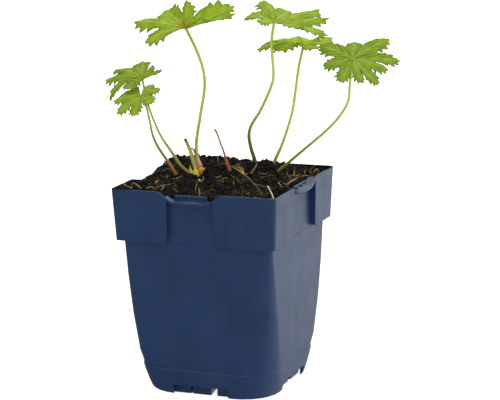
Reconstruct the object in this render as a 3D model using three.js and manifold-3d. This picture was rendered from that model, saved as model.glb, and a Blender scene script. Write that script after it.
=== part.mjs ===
// A young hardy geranium in its square nursery pot, in millimetres, +Z up.
// The origin is the middle of the pot's base. The front of the pot faces -Y.
import * as THREE from 'three';
import { mergeVertices } from 'three/addons/utils/BufferGeometryUtils.js';
import Module from 'manifold-3d';

const wasm = await Module();
wasm.setup();

// ---- Driving dimensions: the pot ----
const rimHeight = 111;
const rimHalf = 46;
const collarBottom = 83.4;
const collarBottomHalf = 44.5;
const collarCorner = 2.5;
const wall = 1.0;
const floorWall = 1.2;
const baseCorner = 19.5;
const bodyTopCorner = 3;
const bandTop = 14.1; // the lower band of the body stands slightly proud
const bandStep = 0.45;
const panelHalf = 42.6; // recessed panels of the collar, at the rim
const panelBottomHalf = 41.9;
const panelFlare = 3; // radius of the panel's flared lower corners
const lipBulge = 1.5; // how far the lip over the panel bows out past the collar
const lipHeight = 1.4;
const lipSlope = 1.0; // how much higher the lip stands at the wall than at its edge
const tongueCorner = 1.2;
const ribPitch = 7;
const ribWidth = 0.8;
const ribDepth = 0.9;
const ribDrop = 0.6; // how far the ribs stop below the top of the tongue
const footHeight = 5.2;
const skirtWall = 1.2;
const skirtHalf = 36.1;
const grooveWidth = 1.8;
const grooveCorner = 17.5;
const footCorner = 13;
const insideFootHalf = 37.1; // half-width of the outside where the room inside begins
const channelHeight = 4.2;
const channelInner = 13;
const channelOuter = 37.5;
const channels = [ // drain channels under the base: place along the side and width
  { across: 5.7, width: 3.4 },
  { across: -8.8, width: 1.0 },
];
const drainHole = { from: 19, to: 26, width: 3.2 };

// Half-width of the tapering body at each height, from the base to the collar.
const bodyProfile = [
  [0, skirtHalf - 0.6],
  [0.6, skirtHalf],
  [4, 37.0],
  [9.9, 38.2],
  [bandTop - 0.3, 38.8],
  [bandTop, 38.8 - bandStep],
  [21.6, 39.7],
  [42.2, 40.9],
  [62.8, 41.4],
  [collarBottom, 41.45],
];

// One row a side: its turn about Z, the panel's ends along the side, where the rim's dip
// starts, levels out, rises and ends, how deep it is, the label tongue's ends and top, and the
// skirt's cut-out.
const sides = [
  {
    turn: 0, panel: [-13.6, 10.2], dip: [-20.5, -10, 7.5, 17.5], depth: 4.8,
    tongue: [-11.2, 7.2], tongueTop: 109.1, cutOut: [-17, 14],
  },
  {
    turn: 90, panel: [-15.5, 14.8], dip: [-18.5, -10, 4, 19], depth: 3.3,
    tongue: [-8.6, 10.4], tongueTop: 109.8, cutOut: [-14, 17],
  },
  {
    turn: 180, panel: [-10.2, 13.6], dip: [-17.5, -7.5, 10, 20.5], depth: 4.8,
    tongue: [-7.2, 11.2], tongueTop: 109.1, cutOut: [-14, 17],
  },
  {
    turn: 270, panel: [-14.8, 15.5], dip: [-17, -6, 8, 20], depth: 3.3,
    tongue: [-10.4, 8.6], tongueTop: 110.4, cutOut: [-17, 14],
  },
];

// ---- Driving dimensions: soil, leaves, roots ----
const seat = 0.3; // clearance between separate pieces that touch
const soilStep = 3.6;
const bladeThickness = 0.9;
const petioleSides = 8;
const rootSides = 6;

// Each leaf: its petiole's points from foot to blade, the petiole's radius at those points (the
// last one goes on to the blade), the blade's heading, pitch and roll, how far the basal lobes
// are grown together, and for each lobe, from the right basal one round to the left, its turn
// from the heading, length, rise at the middle and total curl, and how deep the cuts go.
const leafPlans = {
  leaf_tall_left: {
    route: [
      [-18.2, 13.3, 100], [-19.3, 13.3, 110.6], [-20.1, 13.3, 112.8], [-21.2, 13.4, 116.6],
      [-21.8, 13.6, 125], [-18.9, 13.2, 141], [-15.7, 12.8, 158], [-16.4, 12.5, 166.5],
      [-19.6, 12.3, 176], [-25.5, 12, 187.9],
    ],
    radius: [1.9, 1.9, 1.65, 1.2, 0.9, 0.82],
    heading: 107, pitch: 25, roll: -12, fused: 0.26,
    turns: [-139, -98, -65, -6, 31, 79, 116],
    reach: [24.5, 30, 29, 17, 28, 29.5, 24.5],
    rise: [30, 15, 0, 26, 13, 29, 30],
    curl: [-9, 8, -4, -14, 27, 31, 50],
    cut: [0.43, 0.47, 0.44, 0.6, 0.58, 0.56],
  },
  leaf_upper_left: {
    route: [
      [-19.5, 9, 99.5], [-23.2, 8, 109.3], [-28.2, 7.3, 114], [-34, 6.2, 122.8],
      [-38.6, 5.4, 129.8], [-42.4, 4.4, 138.8], [-45.2, 3.3, 148.2], [-47.3, 2, 160.9],
    ],
    radius: [1.05, 1.05, 0.95, 0.8, 0.65, 0.6],
    heading: 157, pitch: 5, roll: -4, fused: 0.26,
    turns: [-119, -78, -43, -1, 28, 52, 107],
    reach: [12, 12, 24, 23.5, 22.5, 22.5, 17],
    rise: [30, 29, 25, 29, 26, 12, 26],
    curl: [9, -3, 29, 51, 63, 84, 61],
    cut: [0.57, 0.62, 0.43, 0.57, 0.59, 0.58],
  },
  leaf_lower_left: {
    route: [
      [-26, 4, 99.5], [-29, 2, 109.7], [-31.2, 0.3, 115.1], [-37.2, -3.6, 126.8],
      [-38.9, -5.8, 133.5], [-39.3, -7.5, 140], [-40.4, -10.6, 150.6], [-42.1, -12, 154.8],
    ],
    radius: [1.0, 1.0, 0.95, 0.8, 0.65, 0.6],
    heading: -71, pitch: -26, roll: 15, fused: 0.26,
    turns: [-141, -89, -47, -8, 30, 83, 137],
    reach: [19, 15.5, 17, 17.5, 15, 12, 10],
    rise: [5, 20, 9, 9, 18, 27, 12],
    curl: [38, 37, 23, 18, 21, 37, 18],
    cut: [0.42, 0.46, 0.56, 0.63, 0.53, 0.61],
  },
  leaf_middle_high: {
    route: [
      [5, 30, 102], [6.4, 28.5, 113.6], [5.4, 25.5, 121.9], [5.4, 22.5, 129.8], [7.4, 20.4, 135.2],
      [14.1, 17, 144.3], [20.8, 13.6, 155.6], [24.1, 11.6, 163.4], [24.6, 9.4, 174.6],
      [24.6, 8.4, 182.8], [26.3, 8, 193.1],
    ],
    radius: [1.05, 1.05, 1.0, 0.9, 0.8, 0.78],
    heading: 94, pitch: 16, roll: 27, fused: 0.26,
    turns: [-130, -106, -71, -31, -8, 34, 88, 146],
    reach: [24.5, 32.5, 29, 33, 26, 20, 17, 12],
    rise: [30, 28, 22, 12, 8, 23, 8, 24],
    curl: [0, 15, -5, 9, 29, 41, 57, 37],
    cut: [0.5, 0.58, 0.51, 0.35, 0.55, 0.62, 0.35],
  },
  leaf_middle_low: {
    route: [
      [11, 29.5, 102], [16.7, 29, 113.5], [19, 29, 118.3], [21.5, 29, 123.5], [25.5, 28.9, 134.1],
      [28.4, 28.8, 143.7], [30.5, 28.7, 156.1], [32.3, 28.6, 167.3], [34.9, 28.5, 177.9],
    ],
    radius: [0.95, 0.95, 0.9, 0.8, 0.75],
    heading: 102, pitch: 1, roll: -3, fused: 0.26,
    turns: [-150, -85, -46, -21, 52, 102, 155],
    reach: [16.5, 16, 11.5, 30.5, 30.5, 25.5, 25],
    rise: [12, 12, 25, 11, 24, 23, 30],
    curl: [19, 9, 6, 27, 48, 44, 53],
    cut: [0.53, 0.61, 0.45, 0.58, 0.45, 0.55],
  },
  leaf_right: {
    route: [
      [17, 22, 102], [23.5, 18, 111.6], [30.7, 14.2, 117.6], [43.6, 10.2, 128.1], [55.5, 6.4, 137.9],
      [64, 3.3, 146.6], [69.2, 0.9, 154.6], [71.2, -2, 164], [74, -6, 178],
    ],
    radius: [0.9, 0.9, 0.8, 0.75, 0.7],
    heading: 98, pitch: 44, roll: 8, fused: 0.5,
    turns: [-155, -132, -98, -73, -48, 1, 63, 100, 163],
    reach: [16, 20, 19.5, 26, 23.5, 15, 21, 16, 15.5],
    rise: [1, -1, 3, -11, 7, 2, -3, -19, -17],
    curl: [7, 15, 28, 13, 22, 40, 20, 0, -21],
    cut: [0.53, 0.57, 0.63, 0.38, 0.59, 0.57, 0.61, 0.53],
  },
};

// The edge of half a lobe from the sinus to its point: distance out as a share of the lobe's
// length, angle off its midrib as a share of the room that it has, and how far the tooth
// hangs below the blade as a share of the lobe's length.
const lobeEdge = [
  [0.62, 0.84, 0.02],
  [0.73, 0.97, 0.08],
  [0.71, 0.64, 0.03],
  [0.875, 0.74, 0.08],
  [0.84, 0.42, 0.03],
  [0.965, 0.36, 0.07],
  [0.935, 0.17, 0.02],
];
// Which row of the midrib each stretch of that edge is tied to, so that the rows lean outward.
const edgeRows = [1, 2, 2, 3, 3, 4, 4];
const midribRows = [0.22, 0.42, 0.6, 0.78];
const widestHalfAngle = 27;
const basalGap = 1.5; // degrees left open on either side behind the petiole
const pleat = 0.055; // how steeply the blade rises from each midrib to a lobe's widest angle

// The crown under the tallest leaf: the sheath at the petiole's foot, a forked stub of a cut
// petiole beside it, and bud scales round both.
const crownPieces = [
  {
    route: [
      [-19.2, 12.6, 106], [-20.7, 12.6, 113.4], [-22.3, 12.6, 117.8], [-23.3, 12.6, 121.6],
      [-23.7, 12.6, 123.7],
    ],
    radii: [1.5, 1.4, 1.0, 0.6, 0.4],
  },
  {
    route: [
      [-19.4, 11.4, 105], [-20.3, 11, 111], [-21.7, 12, 114], [-23.2, 12, 117.5], [-24.7, 12, 121.6],
      [-26.1, 12, 124.8], [-27.8, 12, 128.3],
    ],
    radii: [1.5, 1.5, 1.35, 1.25, 1.2, 1.15, 1.1],
  },
  {
    route: [[-19.6, 11, 105.5], [-21.2, 10.6, 110.3], [-22.7, 10.5, 112.1], [-23.8, 10.5, 114.8]],
    radii: [1.3, 1.3, 1.1, 0.4],
  },
  {
    route: [[-19, 10.8, 105.5], [-19.3, 9.9, 110.4], [-20.4, 9.8, 111.7], [-21.3, 9.8, 114]],
    radii: [1.2, 1.3, 1.1, 0.4],
  },
  {
    route: [[-18.8, 12, 106], [-18.6, 11, 111], [-17.3, 10.8, 112], [-15.9, 10.8, 111.8]],
    radii: [1.2, 1.2, 1.0, 0.5],
  },
  {
    route: [[-18.6, 12.4, 107], [-18.9, 11.4, 111.6], [-18, 11.2, 113], [-17.2, 11.2, 113.6]],
    radii: [1.1, 1.1, 0.8, 0.4],
  },
];

// A petiole cut off last year, dried red-brown.
const cutStalk = {
  route: [
    [0.5, 12.5, 102], [-2, 11.5, 112.5], [-3, 11, 116.3], [-3.9, 11, 119.3], [-4.9, 11, 122.8],
    [-6.6, 11, 127.1], [-8.3, 11, 131.9], [-9.8, 11, 134.5],
  ],
  radii: [1.1, 1.1, 1.0, 0.8, 0.7, 0.65, 0.6, 0.55],
};

// Roots that lie on the soil, as points on its plan; they follow its surface. Three strands run
// together in a knot, and two long roots leave it, one of them forked.
const rootRuns = [
  {
    plan: [[-3.9, 18.1], [-1.4, 16], [0.9, 13.9], [3.9, 11.2], [7.1, 8.8]],
    radii: [0.4, 0.5, 0.55, 0.6, 0.6],
  },
  {
    plan: [[-3.1, 19.6], [-0.4, 17.6], [2.2, 15.3], [4.9, 12], [7.2, 9]],
    radii: [0.4, 0.45, 0.5, 0.6, 0.6],
  },
  {
    plan: [[-2.2, 21.2], [0.9, 18.6], [3.9, 15.2], [6.2, 11.7], [7.4, 8.6]],
    radii: [0.4, 0.4, 0.45, 0.5, 0.6],
  },
  {
    plan: [[6.9, 8.9], [8.9, 9.7], [10.1, 12.6], [10.5, 17.6], [8.5, 27.1]],
    radii: [0.6, 0.5, 0.5, 0.45, 0.4],
  },
  {
    plan: [
      [7.2, 8.8], [11.4, 4.8], [15.5, 0.1], [18.9, -5.8], [22.8, -11.5], [26.9, -17.7], [30.7, -24.2],
    ],
    radii: [0.6, 0.5, 0.45, 0.45, 0.45, 0.4, 0.4],
  },
  { plan: [[17.9, -4], [21.1, -4.3], [24.9, -6.6], [27.9, -8.7]], radii: [0.45, 0.4, 0.4, 0.35] },
];
const rootLift = 0.35; // how high the middle of a root lies over the soil

// A root that stands curled up at the back right.
const curledRoot = {
  route: [
    [41.2, 27.5, 114.6], [39, 27.3, 112.4], [38.5, 27.1, 110.7], [39.6, 27, 109.5], [41.1, 27, 108.9],
    [42.7, 27, 109.6], [43.2, 26.8, 111.3], [42.7, 26.2, 112.7], [42, 25.6, 112.2], [41.2, 25.2, 111.2],
  ],
  radii: [0.35, 0.4, 0.4, 0.4, 0.4, 0.4, 0.4, 0.4, 0.4, 0.35],
};
const strawRight = {
  route: [[42, -37.4, 105.5], [41.3, -36.6, 109.7], [35.2, -28.2, 113.8]],
  radii: [0.45, 0.45, 0.4],
};
const strawLeft = {
  route: [[-39.4, -31.4, 111.6], [-35.3, -35.8, 111.9], [-30.6, -40.4, 111]],
  radii: [0.4, 0.42, 0.38],
};

// ---- Solids ----
const radians = THREE.MathUtils.degToRad;

const toSolid = (positions, triangles) => new wasm.Manifold(new wasm.Mesh({
  numProp: 3,
  vertProperties: new Float32Array(positions),
  triVerts: new Uint32Array(triangles),
}));

const geometryToSolid = (geometry) => {
  geometry.deleteAttribute('normal');
  geometry.deleteAttribute('uv');
  const merged = mergeVertices(geometry, 1e-4);
  return toSolid(merged.attributes.position.array, merged.index.array);
};

// A closed skin through rings of equally many points, listed from the lowest up.
const loft = (rings) => {
  const count = rings[0].length;
  const positions = rings.flat(2);
  const triangles = [];
  for (let level = 0; level < rings.length - 1; level += 1) {
    for (let k = 0; k < count; k += 1) {
      const a = level * count + k;
      const b = level * count + (k + 1) % count;
      triangles.push(a, b, b + count, a, b + count, a + count);
    }
  }
  const capWith = (ring, level, up) => {
    const centre = positions.length / 3;
    const middle = ring.reduce((sum, p) => sum.map((v, axis) => v + p[axis] / count), [0, 0, 0]);
    positions.push(...middle);
    for (let k = 0; k < count; k += 1) {
      const a = level * count + k;
      const b = level * count + (k + 1) % count;
      triangles.push(...(up ? [a, b, centre] : [b, a, centre]));
    }
  };
  capWith(rings[0], 0, false);
  capWith(rings.at(-1), rings.length - 1, true);
  return toSolid(positions, triangles);
};

const roundedSquare = (half, corner, z, steps = 6) => {
  const ring = [];
  for (let quarter = 0; quarter < 4; quarter += 1) {
    const start = quarter * Math.PI / 2;
    const centreX = (half - corner) * (quarter === 0 || quarter === 3 ? 1 : -1);
    const centreY = (half - corner) * (quarter < 2 ? 1 : -1);
    for (let k = 0; k <= steps; k += 1) {
      const angle = start + k / steps * Math.PI / 2;
      ring.push([centreX + corner * Math.cos(angle), centreY + corner * Math.sin(angle), z]);
    }
  }
  return ring;
};

// An outline extruded once, whose every corner is then placed by a rule.
const shaped = (outline, place) => {
  const shape = new THREE.Shape(outline.map(([a, b]) => new THREE.Vector2(a, b)));
  const geometry = new THREE.ExtrudeGeometry(shape, { depth: 1, bevelEnabled: false, steps: 1 });
  const position = geometry.attributes.position;
  for (let i = 0; i < position.count; i += 1) {
    const placed = place(position.getX(i), position.getY(i), position.getZ(i) > 0.5);
    position.setXYZ(i, ...placed);
  }
  return geometryToSolid(geometry);
};

// A side's own frame: u along it, v outward from the pot's axis, z up.
const onSide = (turn, u, v, z) => {
  const angle = radians(turn);
  const x = u * Math.cos(angle) + v * Math.sin(angle);
  const y = u * Math.sin(angle) - v * Math.cos(angle);
  return [x, y, z];
};

// An upright outline in u and z, cut or raised between two depths, the inner one a rule of z.
const sideBlock = (turn, outline, inner, outer) => shaped(outline, (u, z, far) => (
  onSide(turn, u, far ? outer : inner(z), z)));

// A plan outline in u and v, raised between two heights.
const planBlock = (turn, outline, low, high) => shaped(outline, (u, v, far) => (
  onSide(turn, u, v, far ? low : high)));

const tube = (route, radii, sides, grow = 0) => {
  const curve = new THREE.CatmullRomCurve3(route.map((p) => new THREE.Vector3(...p)), false, 'centripetal');
  const steps = Math.round(Math.max(route.length * 1.5, curve.getLength() / 6));
  const frames = curve.computeFrenetFrames(steps, false);
  const rings = [];
  for (let k = 0; k <= steps; k += 1) {
    const along = k / steps;
    const middle = curve.getPointAt(along);
    const reach = curve.getUtoTmapping(along) * (radii.length - 1);
    const low = Math.min(Math.floor(reach), radii.length - 2);
    const radius = THREE.MathUtils.lerp(radii[low], radii[low + 1], reach - low) + grow;
    if (k === 0) middle.addScaledVector(frames.tangents[0], -grow);
    if (k === steps) middle.addScaledVector(frames.tangents[steps], grow);
    const ring = [];
    for (let s = 0; s < sides; s += 1) {
      const angle = s / sides * Math.PI * 2;
      const point = middle.clone()
        .addScaledVector(frames.normals[k], Math.cos(angle) * radius)
        .addScaledVector(frames.binormals[k], Math.sin(angle) * radius);
      ring.push(point.toArray());
    }
    rings.push(ring);
  }
  return loft(rings);
};

const joined = (solids) => solids.reduce((sum, solid) => sum.add(solid));

const plain = (color, roughness) => new THREE.MeshStandardMaterial({ color, roughness, metalness: 0 });

const toMesh = (name, solid, material) => {
  const { vertProperties, triVerts } = solid.getMesh();
  const geometry = new THREE.BufferGeometry();
  geometry.setAttribute('position', new THREE.BufferAttribute(new Float32Array(vertProperties), 3));
  geometry.setIndex(new THREE.BufferAttribute(new Uint32Array(triVerts), 1));
  geometry.computeVertexNormals();
  const mesh = new THREE.Mesh(geometry, material);
  mesh.name = name;
  return mesh;
};

// ---- The pot ----
const bodyCorner = (z) => THREE.MathUtils.lerp(baseCorner, bodyTopCorner, Math.min(z / collarBottom, 1));
const panelFace = (z) => THREE.MathUtils.mapLinear(z, collarBottom, rimHeight, panelBottomHalf, panelHalf);
const collarHalf = (z) => THREE.MathUtils.mapLinear(z, collarBottom, rimHeight, collarBottomHalf, rimHalf);

const arc = (centreU, centreZ, radius, from, to, steps) => Array.from({ length: steps + 1 }, (_, k) => {
  const angle = radians(from + (to - from) * k / steps);
  return [centreU + radius * Math.cos(angle), centreZ + radius * Math.sin(angle)];
});

// The space in front of a collar panel. Its lower corners flare round the rounded blocks.
const panelSpace = (side, grow) => {
  const bottom = collarBottom + grow;
  const above = rimHeight + 12;
  const below = bottom - 3;
  const left = side.panel[0] - grow;
  const right = side.panel[1] + grow;
  const leftFoot = left - 1.2 - panelFlare;
  const rightFoot = right + 2.4 + panelFlare;
  const outline = [
    [left, above],
    ...arc(leftFoot, bottom + panelFlare, panelFlare, 0, -90, 4),
    [leftFoot, below],
    [rightFoot, below],
    ...arc(rightFoot, bottom + panelFlare, panelFlare, -90, -180, 4),
    [right, above],
  ];
  return sideBlock(side.turn, outline, (z) => panelFace(z) - grow, rimHalf + 8);
};

const outerShell = () => {
  const body = bodyProfile.map(([z, half]) => roundedSquare(half, bodyCorner(z) - (z === 0 ? 0.5 : 0), z));
  const collar = [
    roundedSquare(collarBottomHalf, collarCorner, collarBottom),
    roundedSquare(rimHalf - 0.15, collarCorner, rimHeight),
  ];
  return loft([...body, ...collar]);
};

// Where each drain channel runs under the base, narrowing toward the middle.
const channelPlans = (widen) => channels.map(({ across, width }) => {
  const half = width / 2 + widen;
  const inner = channelInner - widen;
  const innerAcross = across * channelInner / skirtHalf;
  return [
    [across - half, channelOuter],
    [innerAcross - half, inner],
    [innerAcross + half, inner],
    [across + half, channelOuter],
  ];
});

const grooveOuter = skirtHalf - skirtWall;
const footHalf = grooveOuter - grooveWidth;

// The room inside the pot, held off its outside by a thickness.
const inside = (thickness, top) => {
  const floorTop = footHeight + thickness + 0.2;
  const rise = bodyProfile.filter(([z]) => z > floorTop + 1 && z < collarBottom);
  const step = collarBottom + thickness;
  const rings = [
    roundedSquare(insideFootHalf - thickness, bodyCorner(floorTop) - thickness, floorTop),
    ...rise.map(([z, half]) => roundedSquare(half - thickness, Math.max(bodyCorner(z) - thickness, 1), z)),
    roundedSquare(bodyProfile.at(-1)[1] - thickness, bodyTopCorner - thickness, step),
    roundedSquare(collarHalf(step) - thickness, collarCorner - thickness + 0.3, step),
    roundedSquare(collarHalf(rimHeight) - thickness, collarCorner - thickness + 0.3, rimHeight),
    roundedSquare(collarHalf(rimHeight) - thickness, collarCorner - thickness + 0.3, top),
  ];
  let room = loft(rings);
  for (const side of sides) room = room.subtract(panelSpace(side, thickness));
  let feet = loft([
    roundedSquare(footHalf - thickness, footCorner, floorWall + thickness - wall),
    roundedSquare(footHalf - thickness, footCorner, floorTop + 0.5),
  ]);
  for (const side of sides) {
    for (const plan of channelPlans(thickness)) {
      feet = feet.subtract(planBlock(side.turn, plan, -1, channelHeight + thickness));
    }
  }
  return room.add(feet);
};

// How high the rim stands at a place along a side: it dips smoothly over the panel.
const dipHeight = (side, u) => {
  const [start, level, rise, end] = side.dip;
  const down = THREE.MathUtils.clamp((u - start) / (level - start), 0, 1);
  const up = THREE.MathUtils.clamp((u - rise) / (end - rise), 0, 1);
  return rimHeight - side.depth * (Math.cos(up * Math.PI) - Math.cos(down * Math.PI)) / 2;
};

const dipLine = (side, from, to) => Array.from({ length: 9 }, (_, k) => {
  const u = THREE.MathUtils.lerp(from, to, k / 8);
  return [u, dipHeight(side, u)];
});

// What the dipping rim leaves out above a panel. The label tongue stays standing in it.
const rimDip = (side) => {
  const [start, , , end] = side.dip;
  const [tongueLeft, tongueRight] = side.tongue;
  const shoulder = side.tongueTop - tongueCorner;
  const above = rimHeight + 10;
  const tongue = [
    ...arc(tongueLeft + tongueCorner, shoulder, tongueCorner, 180, 90, 3),
    ...arc(tongueRight - tongueCorner, shoulder, tongueCorner, 90, 0, 3),
  ].filter(([u, z]) => z > dipHeight(side, u));
  const outline = [
    [start, above],
    ...dipLine(side, start, tongueLeft),
    ...tongue,
    ...dipLine(side, tongueRight, end),
    [end, above],
  ];
  return sideBlock(side.turn, outline, () => panelHalf - 4, rimHalf + 4);
};

const rectangle = (fromU, toU, fromV, toV) => [[fromU, fromV], [toU, fromV], [toU, toV], [fromU, toV]];

// The lip under the dip: a ledge that bows out over the panel between the corner blocks,
// follows the rim's height and slopes outwards, with short ribs on the tongue behind it.
const lip = (side) => {
  const [left, right] = side.panel;
  const into = 0.6; // how far the ledge runs into the wall at its back and its ends
  const band = loft(Array.from({ length: 11 }, (_, k) => {
    const share = k / 10;
    const u = THREE.MathUtils.lerp(left - into, right + into, share);
    const inner = panelHalf - into;
    const top = dipHeight(side, u);
    const bow = Math.sin(share * Math.PI);
    const outer = collarHalf(top) - 0.05 + lipBulge * bow;
    const back = top + lipSlope * bow;
    const ring = [[outer, top - lipHeight], [inner, top - lipHeight], [inner, back], [outer, top]];
    return ring.map(([v, z]) => onSide(side.turn, u, v, z));
  }));
  const middle = (side.tongue[0] + side.tongue[1]) / 2;
  const ribs = [-1, 0, 1].map((k) => {
    const from = middle + k * ribPitch - ribWidth / 2;
    const to = from + ribWidth;
    const outline = rectangle(from, to, panelHalf - into, panelHalf + ribDepth);
    return planBlock(side.turn, outline, rimHeight - side.depth - lipHeight / 2, side.tongueTop - ribDrop);
  });
  return joined([band, ...ribs]);
};

const underside = (side) => {
  const [left, right] = side.cutOut;
  const cutOut = planBlock(side.turn, rectangle(left, right, grooveOuter - 1, rimHalf), -1, footHeight);
  const open = channelPlans(0).map((plan) => planBlock(side.turn, plan, -1, channelHeight));
  const { from, to, width } = drainHole;
  const middle = channels[0].across * (from + to) / 2 / skirtHalf;
  const hole = planBlock(side.turn, rectangle(middle - width / 2, middle + width / 2, from, to), 1, 8);
  return joined([cutOut, ...open, hole]);
};

const makePot = () => {
  let pot = outerShell();
  for (const side of sides) pot = pot.subtract(panelSpace(side, 0));
  pot = pot.subtract(inside(wall, rimHeight + 5));
  for (const side of sides) pot = pot.subtract(rimDip(side)).add(lip(side));
  const groove = loft([
    roundedSquare(grooveOuter, grooveCorner, -1),
    roundedSquare(grooveOuter, grooveCorner, footHeight),
  ]).subtract(loft([
    roundedSquare(footHalf, grooveCorner - 1.5, -2),
    roundedSquare(footHalf, grooveCorner - 1.5, footHeight + 1),
  ]));
  pot = pot.subtract(groove);
  for (const side of sides) pot = pot.subtract(underside(side));
  return pot;
};

// ---- Leaves ----
const eased = (share) => share * share * (3 - 2 * share);

// A value set lobe by lobe, carried smoothly over the angles between them.
const between = (turns, values, angle) => {
  const last = turns.length - 1;
  if (angle <= turns[0]) return values[0];
  if (angle >= turns[last]) return values[last];
  const next = turns.findIndex((turn) => turn > angle);
  const share = eased((angle - turns[next - 1]) / (turns[next] - turns[next - 1]));
  return THREE.MathUtils.lerp(values[next - 1], values[next], share);
};

// A point of the flat blade, bent up or down along its own ray without changing its length.
const bentPoint = (plan, distance, angle, offAngle, hang) => {
  const rise = radians(between(plan.turns, plan.rise, angle));
  const curlPerLength = plan.curl.map((curl, lobe) => curl / plan.reach[lobe]);
  const curl = radians(between(plan.turns, curlPerLength, angle)) || 1e-6;
  const along = (Math.sin(rise) - Math.sin(rise - curl * distance)) / curl;
  const height = (Math.cos(rise - curl * distance) - Math.cos(rise)) / curl;
  const lift = pleat * distance * Math.abs(offAngle) / widestHalfAngle - hang;
  const azimuth = radians(angle);
  return new THREE.Vector3(along * Math.cos(azimuth), along * Math.sin(azimuth), height + lift);
};

const makeBlade = (plan) => {
  const points = [];
  const addPoint = (distance, angle, offAngle, hang = 0) => {
    points.push(bentPoint(plan, distance, angle, offAngle, hang));
    return points.length - 1;
  };
  const hub = addPoint(0, 0, 0);
  const faces = [];
  const rim = [hub];
  const lobes = plan.turns.length;
  const openAngle = 360 - plan.turns.at(-1) + plan.turns[0];
  const basalHalf = Math.min(widestHalfAngle, openAngle / 2 - basalGap);
  const sinuses = plan.turns.slice(1).map((turn, lobe) => {
    const half = (turn - plan.turns[lobe]) / 2;
    const distance = plan.cut[lobe] * Math.min(plan.reach[lobe], plan.reach[lobe + 1]);
    return { point: addPoint(distance, plan.turns[lobe] + half, half), half };
  });
  for (let lobe = 0; lobe < lobes; lobe += 1) {
    const turn = plan.turns[lobe];
    const reach = plan.reach[lobe];
    const rows = [...midribRows, 1].map((row) => addPoint(row * reach, turn, 0));
    const midrib = [hub, ...rows];
    const halves = [-1, 1].map((hand) => {
      const sinus = hand < 0 ? sinuses[lobe - 1] : sinuses[lobe];
      const room = Math.min(sinus ? sinus.half : basalHalf, widestHalfAngle);
      const start = sinus ? sinus.point : addPoint(plan.fused * reach, turn + hand * room, room);
      const edge = [start, ...lobeEdge.map(([out, share, hang]) => (
        addPoint(out * reach, turn + hand * share * room, share * room, hang * reach)))];
      const addFace = (a, b, c) => faces.push(hand > 0 ? [a, c, b] : [a, b, c]);
      addFace(hub, edge[0], midrib[1]);
      let row = 1;
      for (let k = 0; k < edge.length; k += 1) {
        const nextRow = edgeRows[k] ?? 5;
        const next = edge[k + 1] ?? midrib[5];
        addFace(midrib[row], edge[k], next);
        while (row < Math.min(nextRow, 4)) {
          addFace(midrib[row], next, midrib[row + 1]);
          row += 1;
        }
      }
      return edge;
    });
    const [right, left] = halves;
    rim.push(...right, midrib[5], ...left.reverse());
  }
  const outline = rim.filter((point, k) => point !== rim[k - 1]);
  const count = points.length;
  const half = bladeThickness / 2;
  const positions = [1, -1].flatMap((hand) => points.flatMap((p) => [p.x, p.y, p.z + hand * half]));
  const triangles = faces.flatMap(([a, b, c]) => [a, b, c, a + count, c + count, b + count]);
  outline.forEach((a, k) => {
    const b = outline[(k + 1) % outline.length];
    triangles.push(a, a + count, b + count, a, b + count, b);
  });
  const turnTo = new THREE.Matrix4().makeRotationZ(radians(plan.heading))
    .multiply(new THREE.Matrix4().makeRotationY(-radians(plan.pitch)))
    .multiply(new THREE.Matrix4().makeRotationX(radians(plan.roll)));
  const place = new THREE.Matrix4().makeTranslation(...plan.route.at(-1)).multiply(turnTo);
  const geometry = new THREE.BufferGeometry();
  geometry.setAttribute('position', new THREE.BufferAttribute(new Float32Array(positions), 3));
  geometry.setIndex(triangles);
  geometry.applyMatrix4(place);
  return toSolid(geometry.attributes.position.array, geometry.index.array);
};

const makePetiole = (plan, grow) => {
  const radii = plan.route.map((_, k) => plan.radius[Math.min(k, plan.radius.length - 1)]);
  return tube(plan.route, radii, petioleSides, grow);
};

const makeCrown = (grow) => joined(crownPieces.map(({ route, radii }) => (
  tube(route, radii, petioleSides, grow))));

// ---- Soil ----
const bell = (x, y, spreadX, spreadY) => Math.exp(-0.5 * ((x / spreadX) ** 2 + (y / spreadY) ** 2));

// Height of the peat, heaped behind the crowns and falling off to the walls.
const soilHeight = (x, y) => {
  const heap = 4.9 * bell(x + 6, y - 28, 24, 15);
  const mounds = bell(x, y - 13, 7, 6) + 3.4 * bell(x - 16, y - 25, 7, 6);
  const leftBank = 2.6 * bell(x + 44, y - 27, 4, 10);
  const frontCorner = 2.6 * bell(x + 39, y + 39, 11, 11);
  const backCorner = 2.4 * bell(x + 32, y - 32, 13, 13);
  const frontNotch = bell(x + 2, y + 43, 14, 3);
  const sideNotches = bell(x + 43, y, 3, 14) + bell(x - 43, y - 2, 3, 14);
  const atNotches = 2.6 * frontNotch + 1.2 * sideNotches;
  const ripple = Math.sin(x / 2.5 + 1.4 * Math.sin(y / 4.1));
  const crumbs = 0.6 * ripple * Math.cos(y / 2.7 + 1.2 * Math.sin(x / 4.7));
  const banks = frontCorner + backCorner + leftBank;
  const open = rimHeight - 2.5 + heap + mounds + banks - atNotches + crumbs;
  const toWall = Math.max(rimHalf - 1 - Math.max(Math.abs(x), Math.abs(y)), 0);
  const highest = rimHeight - 0.5 + 0.5 * toWall + leftBank;
  return Math.min(open, highest);
};

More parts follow.
